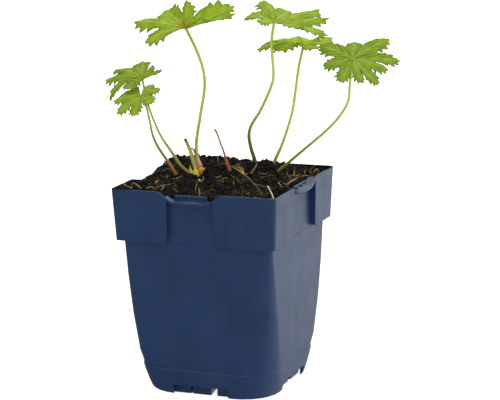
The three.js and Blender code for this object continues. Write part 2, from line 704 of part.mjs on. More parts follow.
const soilField = () => {
  const count = Math.round(2 * (rimHalf + 1) / soilStep);
  const half = count * soilStep / 2;
  const positions = [];
  const at = (i, j) => j * (count + 1) + i;
  for (let j = 0; j <= count; j += 1) {
    for (let i = 0; i <= count; i += 1) {
      const x = -half + i * soilStep;
      const y = -half + j * soilStep;
      positions.push(x, y, soilHeight(x, y));
    }
  }
  const triangles = [];
  for (let j = 0; j < count; j += 1) {
    for (let i = 0; i < count; i += 1) {
      triangles.push(at(i, j), at(i + 1, j), at(i + 1, j + 1), at(i, j), at(i + 1, j + 1), at(i, j + 1));
    }
  }
  const rim = [];
  for (let k = 0; k < count; k += 1) rim.push(at(k, 0));
  for (let k = 0; k < count; k += 1) rim.push(at(count, k));
  for (let k = count; k > 0; k -= 1) rim.push(at(k, count));
  for (let k = count; k > 0; k -= 1) rim.push(at(0, k));
  const below = positions.length / 3;
  rim.forEach((point) => positions.push(positions[point * 3], positions[point * 3 + 1], -2));
  const foot = positions.length / 3;
  positions.push(0, 0, -2);
  rim.forEach((point, k) => {
    const next = (k + 1) % rim.length;
    triangles.push(point, below + k, below + next, point, below + next, rim[next]);
    triangles.push(below + next, below + k, foot);
  });
  return toSolid(positions, triangles);
};

const onSoil = (plan) => plan.map(([x, y]) => [x, y, soilHeight(x, y) + rootLift]);

const makeRootKnot = (grow) => joined(rootRuns.map(({ plan, radii }) => (
  tube(onSoil(plan), radii, rootSides, grow))));

const makeTubeOf = (piece, sides, grow) => tube(piece.route, piece.radii, sides, grow);

const makeSoil = () => {
  const room = inside(wall + seat, rimHeight + 12);
  const stems = Object.values(leafPlans).map((plan) => makePetiole(plan, seat));
  const standing = joined([
    ...stems,
    makeCrown(seat),
    makeTubeOf(cutStalk, petioleSides, seat),
    makeRootKnot(seat),
    makeTubeOf(curledRoot, rootSides, seat),
    makeTubeOf(strawRight, rootSides, seat),
    makeTubeOf(strawLeft, rootSides, seat),
  ]);
  const whole = room.intersect(soilField()).subtract(standing);
  const pieces = whole.decompose();
  return pieces.sort((a, b) => b.volume() - a.volume())[0];
};

// ---- The object ----
const object = new THREE.Group();
object.name = 'hardy_geranium';
object.add(toMesh('pot', makePot(), plain(0x2f4f86, 0.45)));
object.add(toMesh('soil', makeSoil(), plain(0x1d1b18, 0.95)));
for (const [name, plan] of Object.entries(leafPlans)) {
  const petiole = makePetiole(plan, 0);
  const crown = name === 'leaf_tall_left' ? [makeCrown(0)] : [];
  object.add(toMesh(name, joined([makeBlade(plan), petiole, ...crown]), plain(0x8aae35, 0.6)));
}
object.add(toMesh('cut_stalk', makeTubeOf(cutStalk, petioleSides, 0), plain(0xb0653f, 0.7)));
object.add(toMesh('root_knot', makeRootKnot(0), plain(0xc9a54a, 0.8)));
object.add(toMesh('curled_root', makeTubeOf(curledRoot, rootSides, 0), plain(0x9a8058, 0.8)));
object.add(toMesh('straw_right', makeTubeOf(strawRight, rootSides, 0), plain(0xd8c48c, 0.7)));
object.add(toMesh('straw_left', makeTubeOf(strawLeft, rootSides, 0), plain(0xb89a5c, 0.7)));

export default object;
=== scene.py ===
# A hardy geranium in its square nursery pot: the finish of every surface, around the packed
# solids. The tables are in millimetres and the meshes in metres, +Z up.
import math

import bmesh
import bpy
from mathutils import Matrix, Vector, noise


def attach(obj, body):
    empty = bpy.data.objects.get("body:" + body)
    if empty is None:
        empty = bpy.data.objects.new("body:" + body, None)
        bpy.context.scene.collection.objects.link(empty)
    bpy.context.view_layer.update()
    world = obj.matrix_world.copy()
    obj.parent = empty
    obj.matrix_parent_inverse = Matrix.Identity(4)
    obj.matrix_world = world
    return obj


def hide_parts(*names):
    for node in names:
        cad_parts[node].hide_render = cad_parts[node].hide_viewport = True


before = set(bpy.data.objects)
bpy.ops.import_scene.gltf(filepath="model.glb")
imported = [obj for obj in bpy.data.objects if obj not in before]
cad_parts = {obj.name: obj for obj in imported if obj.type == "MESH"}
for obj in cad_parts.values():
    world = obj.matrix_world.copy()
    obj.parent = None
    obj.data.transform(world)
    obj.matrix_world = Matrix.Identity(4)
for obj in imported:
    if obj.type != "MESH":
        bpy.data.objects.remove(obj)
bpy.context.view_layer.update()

MM = 0.001
SAME_PLACE = 0.005 * MM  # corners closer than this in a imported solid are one
BODY = "root"

# ---- View: turned round the pot and looking down on it a little ----
# Angles in degrees, and how far the aim lies aside of and below the middle of the rim.
VIEW_TURN = 21.55
VIEW_DOWN = 12.06
VIEW_ROLL = -1.03
VIEW_DISTANCE = 1063.81
VIEW_ASIDE = 13.21
VIEW_BELOW = 12.48
LENS = 144  # millimetres

# ---- The pot ----
RIM_HEIGHT = 111
RIM_HALF = 46
WALL = 1.3  # the pot's wall and the clearance inside it
PANEL_HALF = 42.6
PANEL_ACROSS = (-13.6, 10.2)  # the recessed panels of the front and back, along x
PANEL_DEEP = (-15.5, 14.8)  # and of the two sides, along y
PANEL_SIDE = 1  # how far the back of a panel reaches past it on either side
INNER_CORNER = 1.8  # radius of the peat's corners

# ---- The leaves, as the imported solids have them ----
# Stalk points from foot to blade with the skin's colour at each, the stalk's radius at those
# points (the last one goes on), the blade's heading, pitch and roll, how far the basal lobes
# are grown together, and for each lobe, from the right basal one round to the left, its turn
# from the heading, length, rise at the middle and total curl, and how deep the cuts go. Blush
# is how red the blade turns round its stalk, rust how red its edge, and the last mark how far
# its green is turned darker. The middle_low blade is left without that darkening, so that it
# stays lighter: painted light where the leaf above it throws shade.
LEAVES = {
    "tall_left": {
        "route": [(-18.2, 13.3, 100), (-19.3, 13.3, 110.6), (-20.1, 13.3, 112.8), (-21.2, 13.4, 116.6),
                  (-21.8, 13.6, 125), (-18.9, 13.2, 141), (-15.7, 12.8, 158), (-16.4, 12.5, 166.5),
                  (-19.6, 12.3, 176), (-25.5, 12, 187.9)],
        "skin": ["#b08a5c", "#c39c7c", "#cdb080", "#c6c476", "#b6c85c", "#aec452", "#a9c04a", "#a8bf46",
                 "#a3b94a", "#a3b94a"],
        "radius": (1.9, 1.9, 1.65, 1.2, 0.9, 0.82),
        "heading": 107, "pitch": 25, "roll": -12, "fused": 0.26, "blush": 0.6, "rust": 0.05, "darker_tone": 0.24,
        "turns": (-139, -98, -65, -6, 31, 79, 116),
        "reach": (24.5, 30, 29, 17, 28, 29.5, 24.5),
        "rise": (30, 15, 0, 26, 13, 29, 30),
        "curl": (-9, 8, -4, -14, 27, 31, 50),
        "cut": (0.43, 0.47, 0.44, 0.6, 0.58, 0.56),
    },
    "upper_left": {
        "route": [(-19.5, 9, 99.5), (-23.2, 8, 109.3), (-28.2, 7.3, 114), (-34, 6.2, 122.8),
                  (-38.6, 5.4, 129.8), (-42.4, 4.4, 138.8), (-45.2, 3.3, 148.2), (-47.3, 2, 160.9)],
        "skin": ["#7d6240", "#8f7448", "#938a44", "#9aaa48", "#a2b94e", "#a5bf52", "#a2bb50", "#9ab44c"],
        "radius": (0.95, 0.95, 0.85, 0.75, 0.65, 0.6),
        "heading": 157, "pitch": 5, "roll": -4, "fused": 0.26, "blush": 0.15, "rust": 0.0, "darker_tone": 0.34,
        "turns": (-119, -78, -43, -1, 28, 52, 107),
        "reach": (12, 12, 24, 23.5, 22.5, 22.5, 17),
        "rise": (30, 29, 25, 29, 26, 12, 26),
        "curl": (9, -3, 29, 51, 63, 84, 61),
        "cut": (0.57, 0.62, 0.43, 0.57, 0.59, 0.58),
    },
    "lower_left": {
        "route": [(-26, 4, 99.5), (-29, 2, 109.7), (-31.2, 0.3, 115.1), (-37.2, -3.6, 126.8),
                  (-38.9, -5.8, 133.5), (-39.3, -7.5, 140), (-40.4, -10.6, 150.6), (-42.1, -12, 154.8)],
        "skin": ["#96482f", "#b4583f", "#ad7a48", "#8b9440", "#8fa443", "#9bb04a", "#a3ba50", "#a2b94c"],
        "radius": (0.9, 0.9, 0.85, 0.75, 0.65, 0.6),
        "heading": -71, "pitch": -26, "roll": 15, "fused": 0.26, "blush": 0.1, "rust": 0.0, "darker_tone": 0.2,
        "turns": (-141, -89, -47, -8, 30, 83, 137),
        "reach": (19, 15.5, 17, 17.5, 15, 12, 10),
        "rise": (5, 20, 9, 9, 18, 27, 12),
        "curl": (38, 37, 23, 18, 21, 37, 18),
        "cut": (0.42, 0.46, 0.56, 0.63, 0.53, 0.61),
    },
    "middle_high": {
        "route": [(5, 30, 102), (6.4, 28.5, 113.6), (5.4, 25.5, 121.9), (5.4, 22.5, 129.8),
                  (7.4, 20.4, 135.2), (14.1, 17, 144.3), (20.8, 13.6, 155.6), (24.1, 11.6, 163.4),
                  (24.6, 9.4, 174.6), (24.6, 8.4, 182.8), (26.3, 8, 193.1)],
        "skin": ["#6c5636", "#6a6230", "#6c7a30", "#7f9038", "#96a844", "#a2b64c", "#a8bd50", "#acc252",
                 "#b0c656", "#aec252", "#a8bd4c"],
        "radius": (1.05, 1.05, 1.0, 0.9, 0.8, 0.78),
        "heading": 94, "pitch": 16, "roll": 27, "fused": 0.26, "blush": 0.1, "rust": 0.05, "darker_tone": 0.24,
        "turns": (-130, -106, -71, -31, -8, 34, 88, 146),
        "reach": (24.5, 32.5, 29, 33, 26, 20, 17, 12),
        "rise": (30, 28, 22, 12, 8, 23, 8, 24),
        "curl": (0, 15, -5, 9, 29, 41, 57, 37),
        "cut": (0.5, 0.58, 0.51, 0.35, 0.55, 0.62, 0.35),
    },
    "middle_low": {
        "route": [(11, 29.5, 102), (16.7, 29, 113.5), (19, 29, 118.3), (21.5, 29, 123.5),
                  (25.5, 28.9, 134.1), (28.4, 28.8, 143.7), (30.5, 28.7, 156.1), (32.3, 28.6, 167.3),
                  (34.9, 28.5, 177.9)],
        # a lighter skin than the other stalks: painted light where the leaf above throws shade on it
        "skin": ["#a49c4a", "#b4b04c", "#bcc24e", "#bfc852", "#bccc54", "#b8c852", "#b4c450", "#b4bc4e",
                 "#b8b058"],
        "radius": (0.95, 0.95, 0.9, 0.8, 0.75),
        # no darkening on this blade: painted light, a lighter green where the leaf above shades it
        "heading": 102, "pitch": 1, "roll": -3, "fused": 0.26, "blush": 0.35, "rust": 0.12, "darker_tone": 0.0,
        "turns": (-150, -85, -46, -21, 52, 102, 155),
        "reach": (16.5, 16, 11.5, 30.5, 30.5, 25.5, 25),
        "rise": (12, 12, 25, 11, 24, 23, 30),
        "curl": (19, 9, 6, 27, 48, 44, 53),
        "cut": (0.53, 0.61, 0.45, 0.58, 0.45, 0.55),
    },
    "right": {
        "route": [(17, 22, 102), (23.5, 18, 111.6), (30.7, 14.2, 117.6), (43.6, 10.2, 128.1),
                  (55.5, 6.4, 137.9), (64, 3.3, 146.6), (69.2, 0.9, 154.6), (71.2, -2, 164),
                  (74, -6, 178)],
        "skin": ["#8a8448", "#9a964a", "#8e9a40", "#8fa040", "#98ab46", "#a0b44a", "#a6bb4e", "#aabf50",
                 "#a2ba48"],
        "radius": (0.9, 0.9, 0.8, 0.75, 0.7),
        "heading": 98, "pitch": 44, "roll": 8, "fused": 0.5, "blush": 0.0, "rust": 0.03, "darker_tone": 0.5,
        "turns": (-155, -132, -98, -73, -48, 1, 63, 100, 163),
        "reach": (16, 20, 19.5, 26, 23.5, 15, 21, 16, 15.5),
        "rise": (1, -1, 3, -11, 7, 2, -3, -19, -17),
        "curl": (7, 15, 28, 13, 22, 40, 20, 0, -21),
        "cut": (0.53, 0.57, 0.63, 0.38, 0.59, 0.57, 0.61, 0.53),
    },
}

# The edge of half a lobe from the sinus to its point: distance out as a share of the lobe's
# length, angle off its midrib as a share of its room, how far it hangs below the blade as a
# share of the lobe's length, and where its row meets the midrib.
LOBE_EDGE = [(0.62, 0.84, 0.02, 0.25), (0.73, 0.97, 0.08, 0.38), (0.71, 0.64, 0.03, 0.44),
             (0.875, 0.74, 0.08, 0.57), (0.84, 0.42, 0.03, 0.63), (0.965, 0.36, 0.07, 0.76),
             (0.935, 0.17, 0.02, 0.83), (1, 0, 0, 1)]
FIRST_ROW = 0.22  # where the row from the sinus meets the midrib
TOOTH_TIPS = (1, 3, 5, 7)  # which points of that edge are the tips of teeth
# Each side vein: where it leaves the midrib and which tooth it runs to.
SIDE_VEINS = [(0.14, 1), (0.36, 3), (0.6, 5)]
WIDEST_HALF_ANGLE = 27
BASAL_GAP = 1.5
PLEAT = 0.055
BLADE_THICKNESS = 0.45
QUILTING = 0.45  # how far the blade swells between its veins
TOOTH_BULGE = 0.07  # how far the sides of a tooth bow out, as a share of their length
MIDRIB_WIDTH = 0.3
SIDE_VEIN_WIDTH = 0.22
CUSHION_WIDTH = 2.2  # how far from a vein the blade has mostly swelled
BUCKLE_SIZE = (6, 0.3)  # width and height of the uneven swellings
DARK_TIP = 0.6  # how far the dark tip of a tooth reaches
BLUSH_WIDTH = 4.5  # how far from the stalk the blush fades
EDGE_STEPS = 5  # rows between two points of the edge
INNER_ROWS = 8  # rows from the stalk out to the sinus
ACROSS_STEPS = 9  # columns from the midrib to the edge

# ---- Crown, cut stalk, roots and straws ----
CROWN = [
    {"route": [(-19.2, 12.2, 106), (-19.4, 12.2, 113.2), (-20.7, 12.2, 116.8), (-21.7, 12.2, 120.1),
               (-23.1, 12.3, 122.5), (-24.4, 12.4, 123.2)], "radii": (1.7, 1.6, 1.1, 0.7, 0.45, 0.3),
     "skin": ["#b08a5c", "#cfa08a", "#c9a884", "#94905a", "#4a4028", "#241e14"]},
    {"route": [(-20.2, 11.6, 105), (-21.2, 11.6, 111), (-22.7, 12, 115), (-24, 12, 119.4),
               (-25.2, 12, 122.9), (-26.4, 12, 125.6), (-27.7, 12, 128.2)],
     "radii": (1.4, 1.35, 1.25, 1.1, 0.95, 0.9, 0.8),
     "skin": ["#a98e4e", "#c6b060", "#c4c060", "#c2c654", "#bcc04a", "#9c9c3a", "#4c4226"]},
]
BUD_SCALES = [
    {"route": [(-21.7, 8.6, 106), (-22.6, 8.4, 109.6), (-23.5, 8.6, 112), (-23.8, 9.2, 114.6)],
     "width": 1.7, "skin": ["#9a7a34", "#d6bc50", "#dcc258", "#a88640"]},
    {"route": [(-19.3, 7.6, 106), (-19.7, 7.4, 109.4), (-20.4, 7.8, 112), (-21.2, 8.6, 114.4)],
     "width": 1.8, "skin": ["#a8943a", "#cfcc48", "#dcd85c", "#c49a4c"]},
    {"route": [(-18.6, 9, 107), (-18.0, 9, 111), (-16.7, 9, 112.7), (-14.8, 9, 112.4)],
     "width": 1.7, "skin": ["#7a4c20", "#c88c30", "#e4b850", "#e0bc5c"]},
    {"route": [(-18.9, 11, 108), (-18.7, 11, 112.4), (-17.9, 11, 113.9), (-16.9, 11, 114.8)],
     "width": 1.3, "skin": ["#8a5a34", "#c08a66", "#c89070", "#8a4c3a"]},
]
CUT_STALK = {
    "route": [(0.5, 12.5, 102), (-2, 11.5, 112.5), (-3, 11, 116.3), (-3.9, 11, 119.3),
              (-4.9, 11, 122.8), (-6.6, 11, 127.1), (-8.3, 11, 131.9), (-9.8, 11, 134.5)],
    "radii": (1.1, 1.05, 0.9, 0.62, 0.5, 0.48, 0.48, 0.5),
    "skin": ["#8a4a34", "#a8604e", "#b4705a", "#a86a48", "#ac7850", "#b07e54", "#a87450", "#6e4230"],
}
KNOT_SKIN = ["#a87c34", "#c49844", "#dcc068"]
LONG_ROOT_SKIN = ["#b49850", "#85795a", "#6e6850", "#5e5a48"]
ROOT_RUNS = [
    {"plan": [(-3.9, 18.1), (-1.4, 16), (0.9, 13.9), (3.9, 11.2), (7.1, 8.8)],
     "radii": (0.4, 0.5, 0.55, 0.6, 0.6), "skin": KNOT_SKIN},
    {"plan": [(-3.1, 19.6), (-0.4, 17.6), (2.2, 15.3), (4.9, 12), (7.2, 9)],
     "radii": (0.4, 0.45, 0.5, 0.6, 0.6), "skin": KNOT_SKIN},
    {"plan": [(-2.2, 21.2), (0.9, 18.6), (3.9, 15.2), (6.2, 11.7), (7.4, 8.6)],
     "radii": (0.4, 0.4, 0.45, 0.5, 0.6), "skin": ["#9a7c40", "#b08c44", "#c09c4a"]},
    {"plan": [(6.9, 8.9), (8.9, 9.7), (10.1, 12.6), (10.5, 17.6), (8.5, 27.1)],
     "radii": (0.6, 0.5, 0.5, 0.45, 0.4), "skin": ["#c4a04c", "#b09a5e", "#a8986a", "#9a9070"]},
    {"plan": [(7.2, 8.8), (11.4, 4.8), (15.5, 0.1), (18.9, -5.8), (22.8, -11.5), (26.9, -17.7),
              (30.7, -24.2)],
     "radii": (0.6, 0.5, 0.45, 0.45, 0.45, 0.4, 0.4), "skin": LONG_ROOT_SKIN},
    {"plan": [(17.9, -4), (21.1, -4.3), (24.9, -6.6), (27.9, -8.7)],
     "radii": (0.45, 0.4, 0.4, 0.35), "skin": ["#8c7c50", "#8a8058"]},
]
ROOT_LIFT = 0.35  # how high the middle of a root lies over the soil
ROOT_SLIM = 0.5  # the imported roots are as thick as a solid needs, the real ones finer
CURLED_ROOT = {
    "route": [(41.2, 27.5, 114.6), (39, 27.3, 112.4), (38.5, 27.1, 110.7), (39.6, 27, 109.5),
              (41.1, 27, 108.9), (42.7, 27, 109.6), (43.2, 26.8, 111.3), (42.7, 26.2, 112.7),
              (42, 25.6, 112.2), (41.2, 25.2, 111.2)],
    "radii": (0.22, 0.28, 0.28, 0.24), "skin": ["#7c6c4a", "#947e54", "#a48a5c", "#ac9468"]}
STRAW_RIGHT = {"route": [(42, -37.4, 105.5), (41.3, -36.6, 109.7), (35.2, -28.2, 113.8)],
               "radii": (0.36, 0.38, 0.32), "skin": ["#c9b06a", "#ddcc94", "#e6dcae"]}
STRAW_LEFT = {"route": [(-39.4, -31.4, 111.6), (-35.3, -35.8, 111.9), (-30.6, -40.4, 111)],
              "radii": (0.32, 0.34, 0.3), "skin": ["#8a7448", "#a88c5c", "#96784c"]}

# Single fibres on the peat: plan points, each with its height over the soil, the fibre's radius
# and its colours.
TAN = ["#7c6a3c", "#a8945a", "#8a7846"]
PALE = ["#a09468", "#c2b888", "#9c8f60"]
GREEN = ["#6e6c3a", "#8c8a48", "#74703a"]
FIBRES = [
    ([(-28.3, -37.6, 0.4), (-27.1, -29, 0.5), (-25.4, -21.4, 0.5), (-22.6, -14.4, 0.6)], 0.3, GREEN),
    ([(-28.8, -38.8, 0.3), (-26.8, -36, 0.6), (-24.8, -33, 0.3)], 0.3, GREEN),
    ([(-40.9, -38.6, 2.2), (-40.4, -39.6, 1.0), (-38.6, -40.6, 0.3)], 0.28, PALE),
    ([(-38.6, -41.4, 0.2), (-36.9, -42, 0.9), (-35.4, -41.4, 0.4), (-36.2, -40, 0.8)], 0.25, TAN),
    ([(-33.6, -13.6, 1.6), (-31.9, -15.4, 0.8), (-31.6, -20, 0.6), (-27.6, -26, 0.3)], 0.32, TAN),
    ([(-35.8, -10.5, 0.4), (-33.9, -13.6, 0.9), (-32.2, -12.5, 0.3)], 0.26, TAN),
    ([(-21.2, -33, 3.0), (-20.8, -34, 1.4), (-21.6, -36.5, 0.1)], 0.26, TAN),
    ([(-32.2, -2.8, 1.9), (-31.6, -4.5, 0.1)], 0.26, GREEN),
    ([(-27.6, -6.4, 0.2), (-26.4, -3, 0.6), (-25.4, 0.4, 0.3)], 0.3, GREEN),
    ([(-29.5, 2.8, 0.5), (-30.6, 6.5, 1.6), (-31.4, 9.6, 0.4)], 0.22, ["#7a4c38", "#8a5c40"]),
    ([(-44, 20.4, 1.6), (-41.8, 17.2, 0.2)], 0.3, ["#6c5a40", "#8a7450"]),
    ([(-8.6, -18, 0.1), (-7.8, -20, 1.4), (-6.4, -25.6, 0.2)], 0.28, TAN),
    ([(-11.6, -1.6, 2.2), (-11, -3.6, 1.2), (-11.2, -6.6, 0.1)], 0.24, TAN),
    ([(-0.4, -34.6, 3.3), (0.4, -36, 1.8), (1.6, -38.2, 0.1)], 0.26, ["#9c7c4c", "#b0946a"]),
    ([(-6.8, 1, 0.3), (-5.2, 3.6, 0.6), (-3.4, 4.2, 0.2)], 0.24, TAN),
    ([(7.4, -6, 1.8), (8.4, -8.4, 0.1)], 0.24, TAN),
    ([(7, -1.4, 0.3), (9, -3.8, 0.6), (11.4, -4.6, 0.2)], 0.24, ["#6c5c34", "#857444"]),
    ([(-14.4, 26, 3.6), (-14.2, 25, 0.2)], 0.28, ["#7c8444", "#9aa05a"]),
    ([(-1.8, 22.4, 0.5), (-0.2, 21, 0.9), (0.8, 22.6, 0.3)], 0.24, TAN),
    ([(27.1, 4.8, 0.3), (30.5, 0.1, 0.7), (34.7, -6.6, 0.3)], 0.36, ["#8a8058", "#a39a6e", "#7a7050"]),
    ([(35.4, -0.5, 0.3), (35.7, 8, 0.6), (35.9, 17.6, 0.5)], 0.34, ["#a8905a", "#c0a870", "#a08858"]),
    ([(27.4, 21, 0.3), (28.7, 18.4, 0.8), (31.3, 14.9, 0.5), (32.7, 10.5, 0.2)], 0.26, TAN),
    ([(30.6, 23.3, 1.0), (33.2, 18.6, 0.4), (34.4, 21.4, 0.8)], 0.28, ["#a08a54", "#b8a066"]),
    ([(37.2, 16.4, 0.3), (38.2, 20.6, 0.7), (38.9, 24.9, 0.3)], 0.4, ["#7c5426", "#9c6c30", "#6c4824"]),
    ([(32.7, 0.9, 0.2), (35.4, -2, 0.8), (37.3, 0.6, 0.3)], 0.4, ["#6c4424", "#8f5c30", "#7a4c28"]),
    ([(36.4, 26.5, 2.2), (35.4, 27, 1.4), (35.3, 26.9, 0.5), (36.2, 26.4, 0.1)], 0.26, PALE),
    ([(23.8, -29.8, 0.2), (24.4, -26.6, 0.7), (24.1, -22.6, 0.2)], 0.28, ["#6c4a2c", "#8a6440"]),
    ([(34.6, -27.4, 0.3), (36.4, -30.6, 0.6), (38.6, -32, 0.2)], 0.26, ["#7c5c3c", "#9a7c54"]),
    ([(28.6, -31, 0.2), (31, -33.4, 0.6), (34.2, -34.2, 0.2)], 0.24, TAN),
    ([(-16.4, -30.2, 0.1), (-14.6, -31.8, 0.8), (-12.2, -31.2, 0.2)], 0.22, TAN),
    ([(14.2, 13.4, 0.2), (16.8, 12.6, 0.5), (19.2, 14.2, 0.2)], 0.22, TAN),
]
PERLITE_CRUMBS = [(-12.5, -4.9, 0.75), (3.4, 31.5, 0.5), (24.6, 33.8, 0.55)]  # x, y and radius


# ---- Small helpers ----
def linear(colour):
    """An sRGB hex colour as the linear RGBA that a shader takes."""
    channels = [int(colour[i:i + 2], 16) / 255 for i in (1, 3, 5)]
    return [c / 12.92 if c <= 0.04045 else ((c + 0.055) / 1.055) ** 2.4 for c in channels] + [1.0]


def set_inputs(tree, made, inputs):
    """Gives a node's inputs their values, or links them to a socket or to the first output in use
    of another node."""
    for key, value in inputs.items():
        if isinstance(value, bpy.types.Node):
            value = next(output for output in value.outputs if output.enabled)
        if isinstance(value, bpy.types.NodeSocket):
            tree.links.new(value, made.inputs[key])
        elif isinstance(value, str) and value.startswith("#"):
            made.inputs[key].default_value = linear(value)
        else:
            made.inputs[key].default_value = value


def add_node(tree, kind, inputs=None, ramp=(), **settings):
    """Adds a node with its settings, its values or links, and the stops of its colour ramp."""
    made = tree.nodes.new(kind)
    for name, value in settings.items():
        setattr(made, name, value)
    set_inputs(tree, made, inputs or {})
    for k, (place, colour) in enumerate(ramp):
        stops = made.color_ramp.elements
        stop = stops[k] if k < len(stops) else stops.new(place)
        stop.position = place
        stop.color = linear(colour)
    return made


def scale_of(grain):
    """The scale of a pattern whose grains are about that many millimetres across."""
    return 1 / (grain * MM)


def blend(start, end, share):
    return start + (end - start) * share


def eased(share):
    return share * share * (3 - 2 * share)


def smooth_route(points, steps):
    """A smooth line through the points, each place with how far along the list it is."""
    points = [Vector(p) for p in points]
    ends = [points[0] * 2 - points[1]] + points + [points[-1] * 2 - points[-2]]
    line = []
    for k in range(len(points) - 1):
        a, b, c, d = ends[k:k + 4]
        before, here, after = (math.sqrt((q - p).length) for p, q in ((a, b), (b, c), (c, d)))
        leave = ((b - a) / before - (c - a) / (before + here) + (c - b) / here) * here
        arrive = ((c - b) / here - (d - b) / (here + after) + (d - c) / after) * here
        for step in range(steps):
            t = step / steps
            spot = b + leave * t + (c * 3 - b * 3 - leave * 2 - arrive) * t * t
            line.append((spot + (b * 2 - c * 2 + leave + arrive) * t ** 3, k + t))
    line.append((points[-1], len(points) - 1))
    return line


def value_at(values, place):
    """A value between those of a list, at a place along it."""
    low = min(int(place), len(values) - 2)
    return blend(values[low], values[low + 1], place - low)


def new_object(name, mesh):
    made = bpy.data.objects.new(name, mesh)
    bpy.context.scene.collection.objects.link(made)
    return made


def finish_piece(piece, slot, *nodes):
    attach(piece, BODY)
    if nodes:
        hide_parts(*nodes)
    return piece


def evaluated(piece):
    """Gives the piece the plain mesh that its modifiers make, and removes them."""
    graph = bpy.context.evaluated_depsgraph_get()
    mesh = bpy.data.meshes.new_from_object(piece.evaluated_get(graph), depsgraph=graph)
    piece.modifiers.clear()
    piece.data = mesh
    return piece


def run_tree(piece, tree, **inputs):
    """Runs a Geometry Nodes tree on a piece, with its inputs given by name."""
    modifier = piece.modifiers.new(tree.name, "NODES")
    modifier.node_group = tree
    for item in tree.interface.items_tree:
        key = item.name.lower().replace(" ", "_")
        if key in inputs:
            modifier[item.identifier] = inputs[key]
    return evaluated(piece)


def new_tree(name, sockets):
    """A Geometry Nodes tree with its named inputs, and the node that gives them."""
    tree = bpy.data.node_groups.new(name, "GeometryNodeTree")
    for label, kind in sockets:
        tree.interface.new_socket(label, in_out="INPUT", socket_type="NodeSocket" + kind)
    tree.interface.new_socket("Geometry", in_out="OUTPUT", socket_type="NodeSocketGeometry")
    return tree, tree.nodes.new("NodeGroupInput").outputs


# ---- Materials ----
def new_material(name):
    """A material, its tree, its shader and the place that its patterns read."""
    material = bpy.data.materials.new(name)
    material.use_nodes = True
    tree = material.node_tree
    place = add_node(tree, "ShaderNodeTexCoord").outputs["Object"]
    return material, tree, tree.nodes["Principled BSDF"], place


def moulded_polypropylene():
    """Polypropylene, injection moulded in a polished steel mould: even dark blue with a soft
    satin shine that grows pale and a little sea-green at a glancing angle, faint flow streaks
    down the walls, and near-black dried peat with painted shade inside the rim of the left and
    back walls and on the rim there."""
    material, tree, shader, place = new_material("moulded polypropylene")
    drawn_out = add_node(tree, "ShaderNodeMapping", {0: place, 3: (1, 1, 0.12)})
    streaks = add_node(tree, "ShaderNodeTexNoise", {
        "Vector": drawn_out, "Scale": scale_of(9), "Detail": 3, "Roughness": 0.55})
    streaked = add_node(tree, "ShaderNodeMapRange", {0: streaks, 1: 0.35, 2: 0.65})
    plain = add_node(tree, "ShaderNodeMix", {0: streaked, 6: "#14284d", 7: "#172c53"}, data_type="RGBA")
    clouds = add_node(tree, "ShaderNodeTexNoise", {"Vector": place, "Scale": scale_of(26)})
    clouded = add_node(tree, "ShaderNodeMapRange", {0: clouds, 1: 0.35, 2: 0.65})
    base = add_node(tree, "ShaderNodeMix", {0: clouded, 6: plain, 7: "#192e56"}, data_type="RGBA")

    # near-black dried peat and painted shade on the inner faces and rim of the left and back walls, where
    # shade falls
    spot = add_node(tree, "ShaderNodeSeparateXYZ", {0: place}).outputs
    leftward = add_node(tree, "ShaderNodeMath", {0: spot["X"], 1: -1}, operation="MULTIPLY")
    left = add_node(tree, "ShaderNodeMapRange", {0: leftward, 1: 0.030, 2: 0.038})
    back = add_node(tree, "ShaderNodeMapRange", {0: spot["Y"], 1: 0.030, 2: 0.038})
    walls = add_node(tree, "ShaderNodeMath", {0: left, 1: back}, operation="MAXIMUM")
    inner = add_node(tree, "ShaderNodeAttribute", attribute_name="inner").outputs["Fac"]
    where = add_node(tree, "ShaderNodeMath", {0: walls, 1: inner}, operation="MULTIPLY")
    specks = add_node(tree, "ShaderNodeTexNoise", {
        "Vector": place, "Scale": scale_of(2.2), "Detail": 4, "Roughness": 0.65})
    grit = add_node(tree, "ShaderNodeMapRange", {0: specks, 1: 0.24, 2: 0.36})
    peat_and_shade_mask = add_node(tree, "ShaderNodeMath", {0: where, 1: grit}, operation="MULTIPLY")
    # the near-black colour is partly dried peat and partly painted shade
    colour = add_node(tree, "ShaderNodeMix", {0: peat_and_shade_mask, 6: base, 7: "#0c0b0a"}, data_type="RGBA")

    sheen = add_node(tree, "ShaderNodeTexNoise", {"Vector": place, "Scale": scale_of(14), "Detail": 3})
    satin = add_node(tree, "ShaderNodeMapRange", {0: sheen, 1: 0.3, 2: 0.7, 3: 0.3, 4: 0.4})
    dull = add_node(tree, "ShaderNodeMix", {0: peat_and_shade_mask, 2: satin, 3: 0.95})
    long_waves = add_node(tree, "ShaderNodeMapping", {0: place, 3: (1, 1, 0.2)})
    waves = add_node(tree, "ShaderNodeTexNoise", {"Vector": long_waves, "Scale": scale_of(16)})
    # the mould's own grain is near 0.1 mm, drawn at 0.5 mm so that it shows
    fine = add_node(tree, "ShaderNodeTexNoise", {"Vector": place, "Scale": scale_of(0.5)})
    grain = add_node(tree, "ShaderNodeMath", {0: fine, 1: 0.04}, operation="MULTIPLY")
    height = add_node(tree, "ShaderNodeMath", {0: waves, 1: grain}, operation="ADD")
    bump = add_node(tree, "ShaderNodeBump", {"Distance": 0.22 * MM, "Height": height})
    set_inputs(tree, shader, {
        "Base Color": colour, "Roughness": dull, "IOR": 1.49, "Specular IOR Level": 0.72,
        "Specular Tint": "#e4fff2", "Normal": bump})
    return material


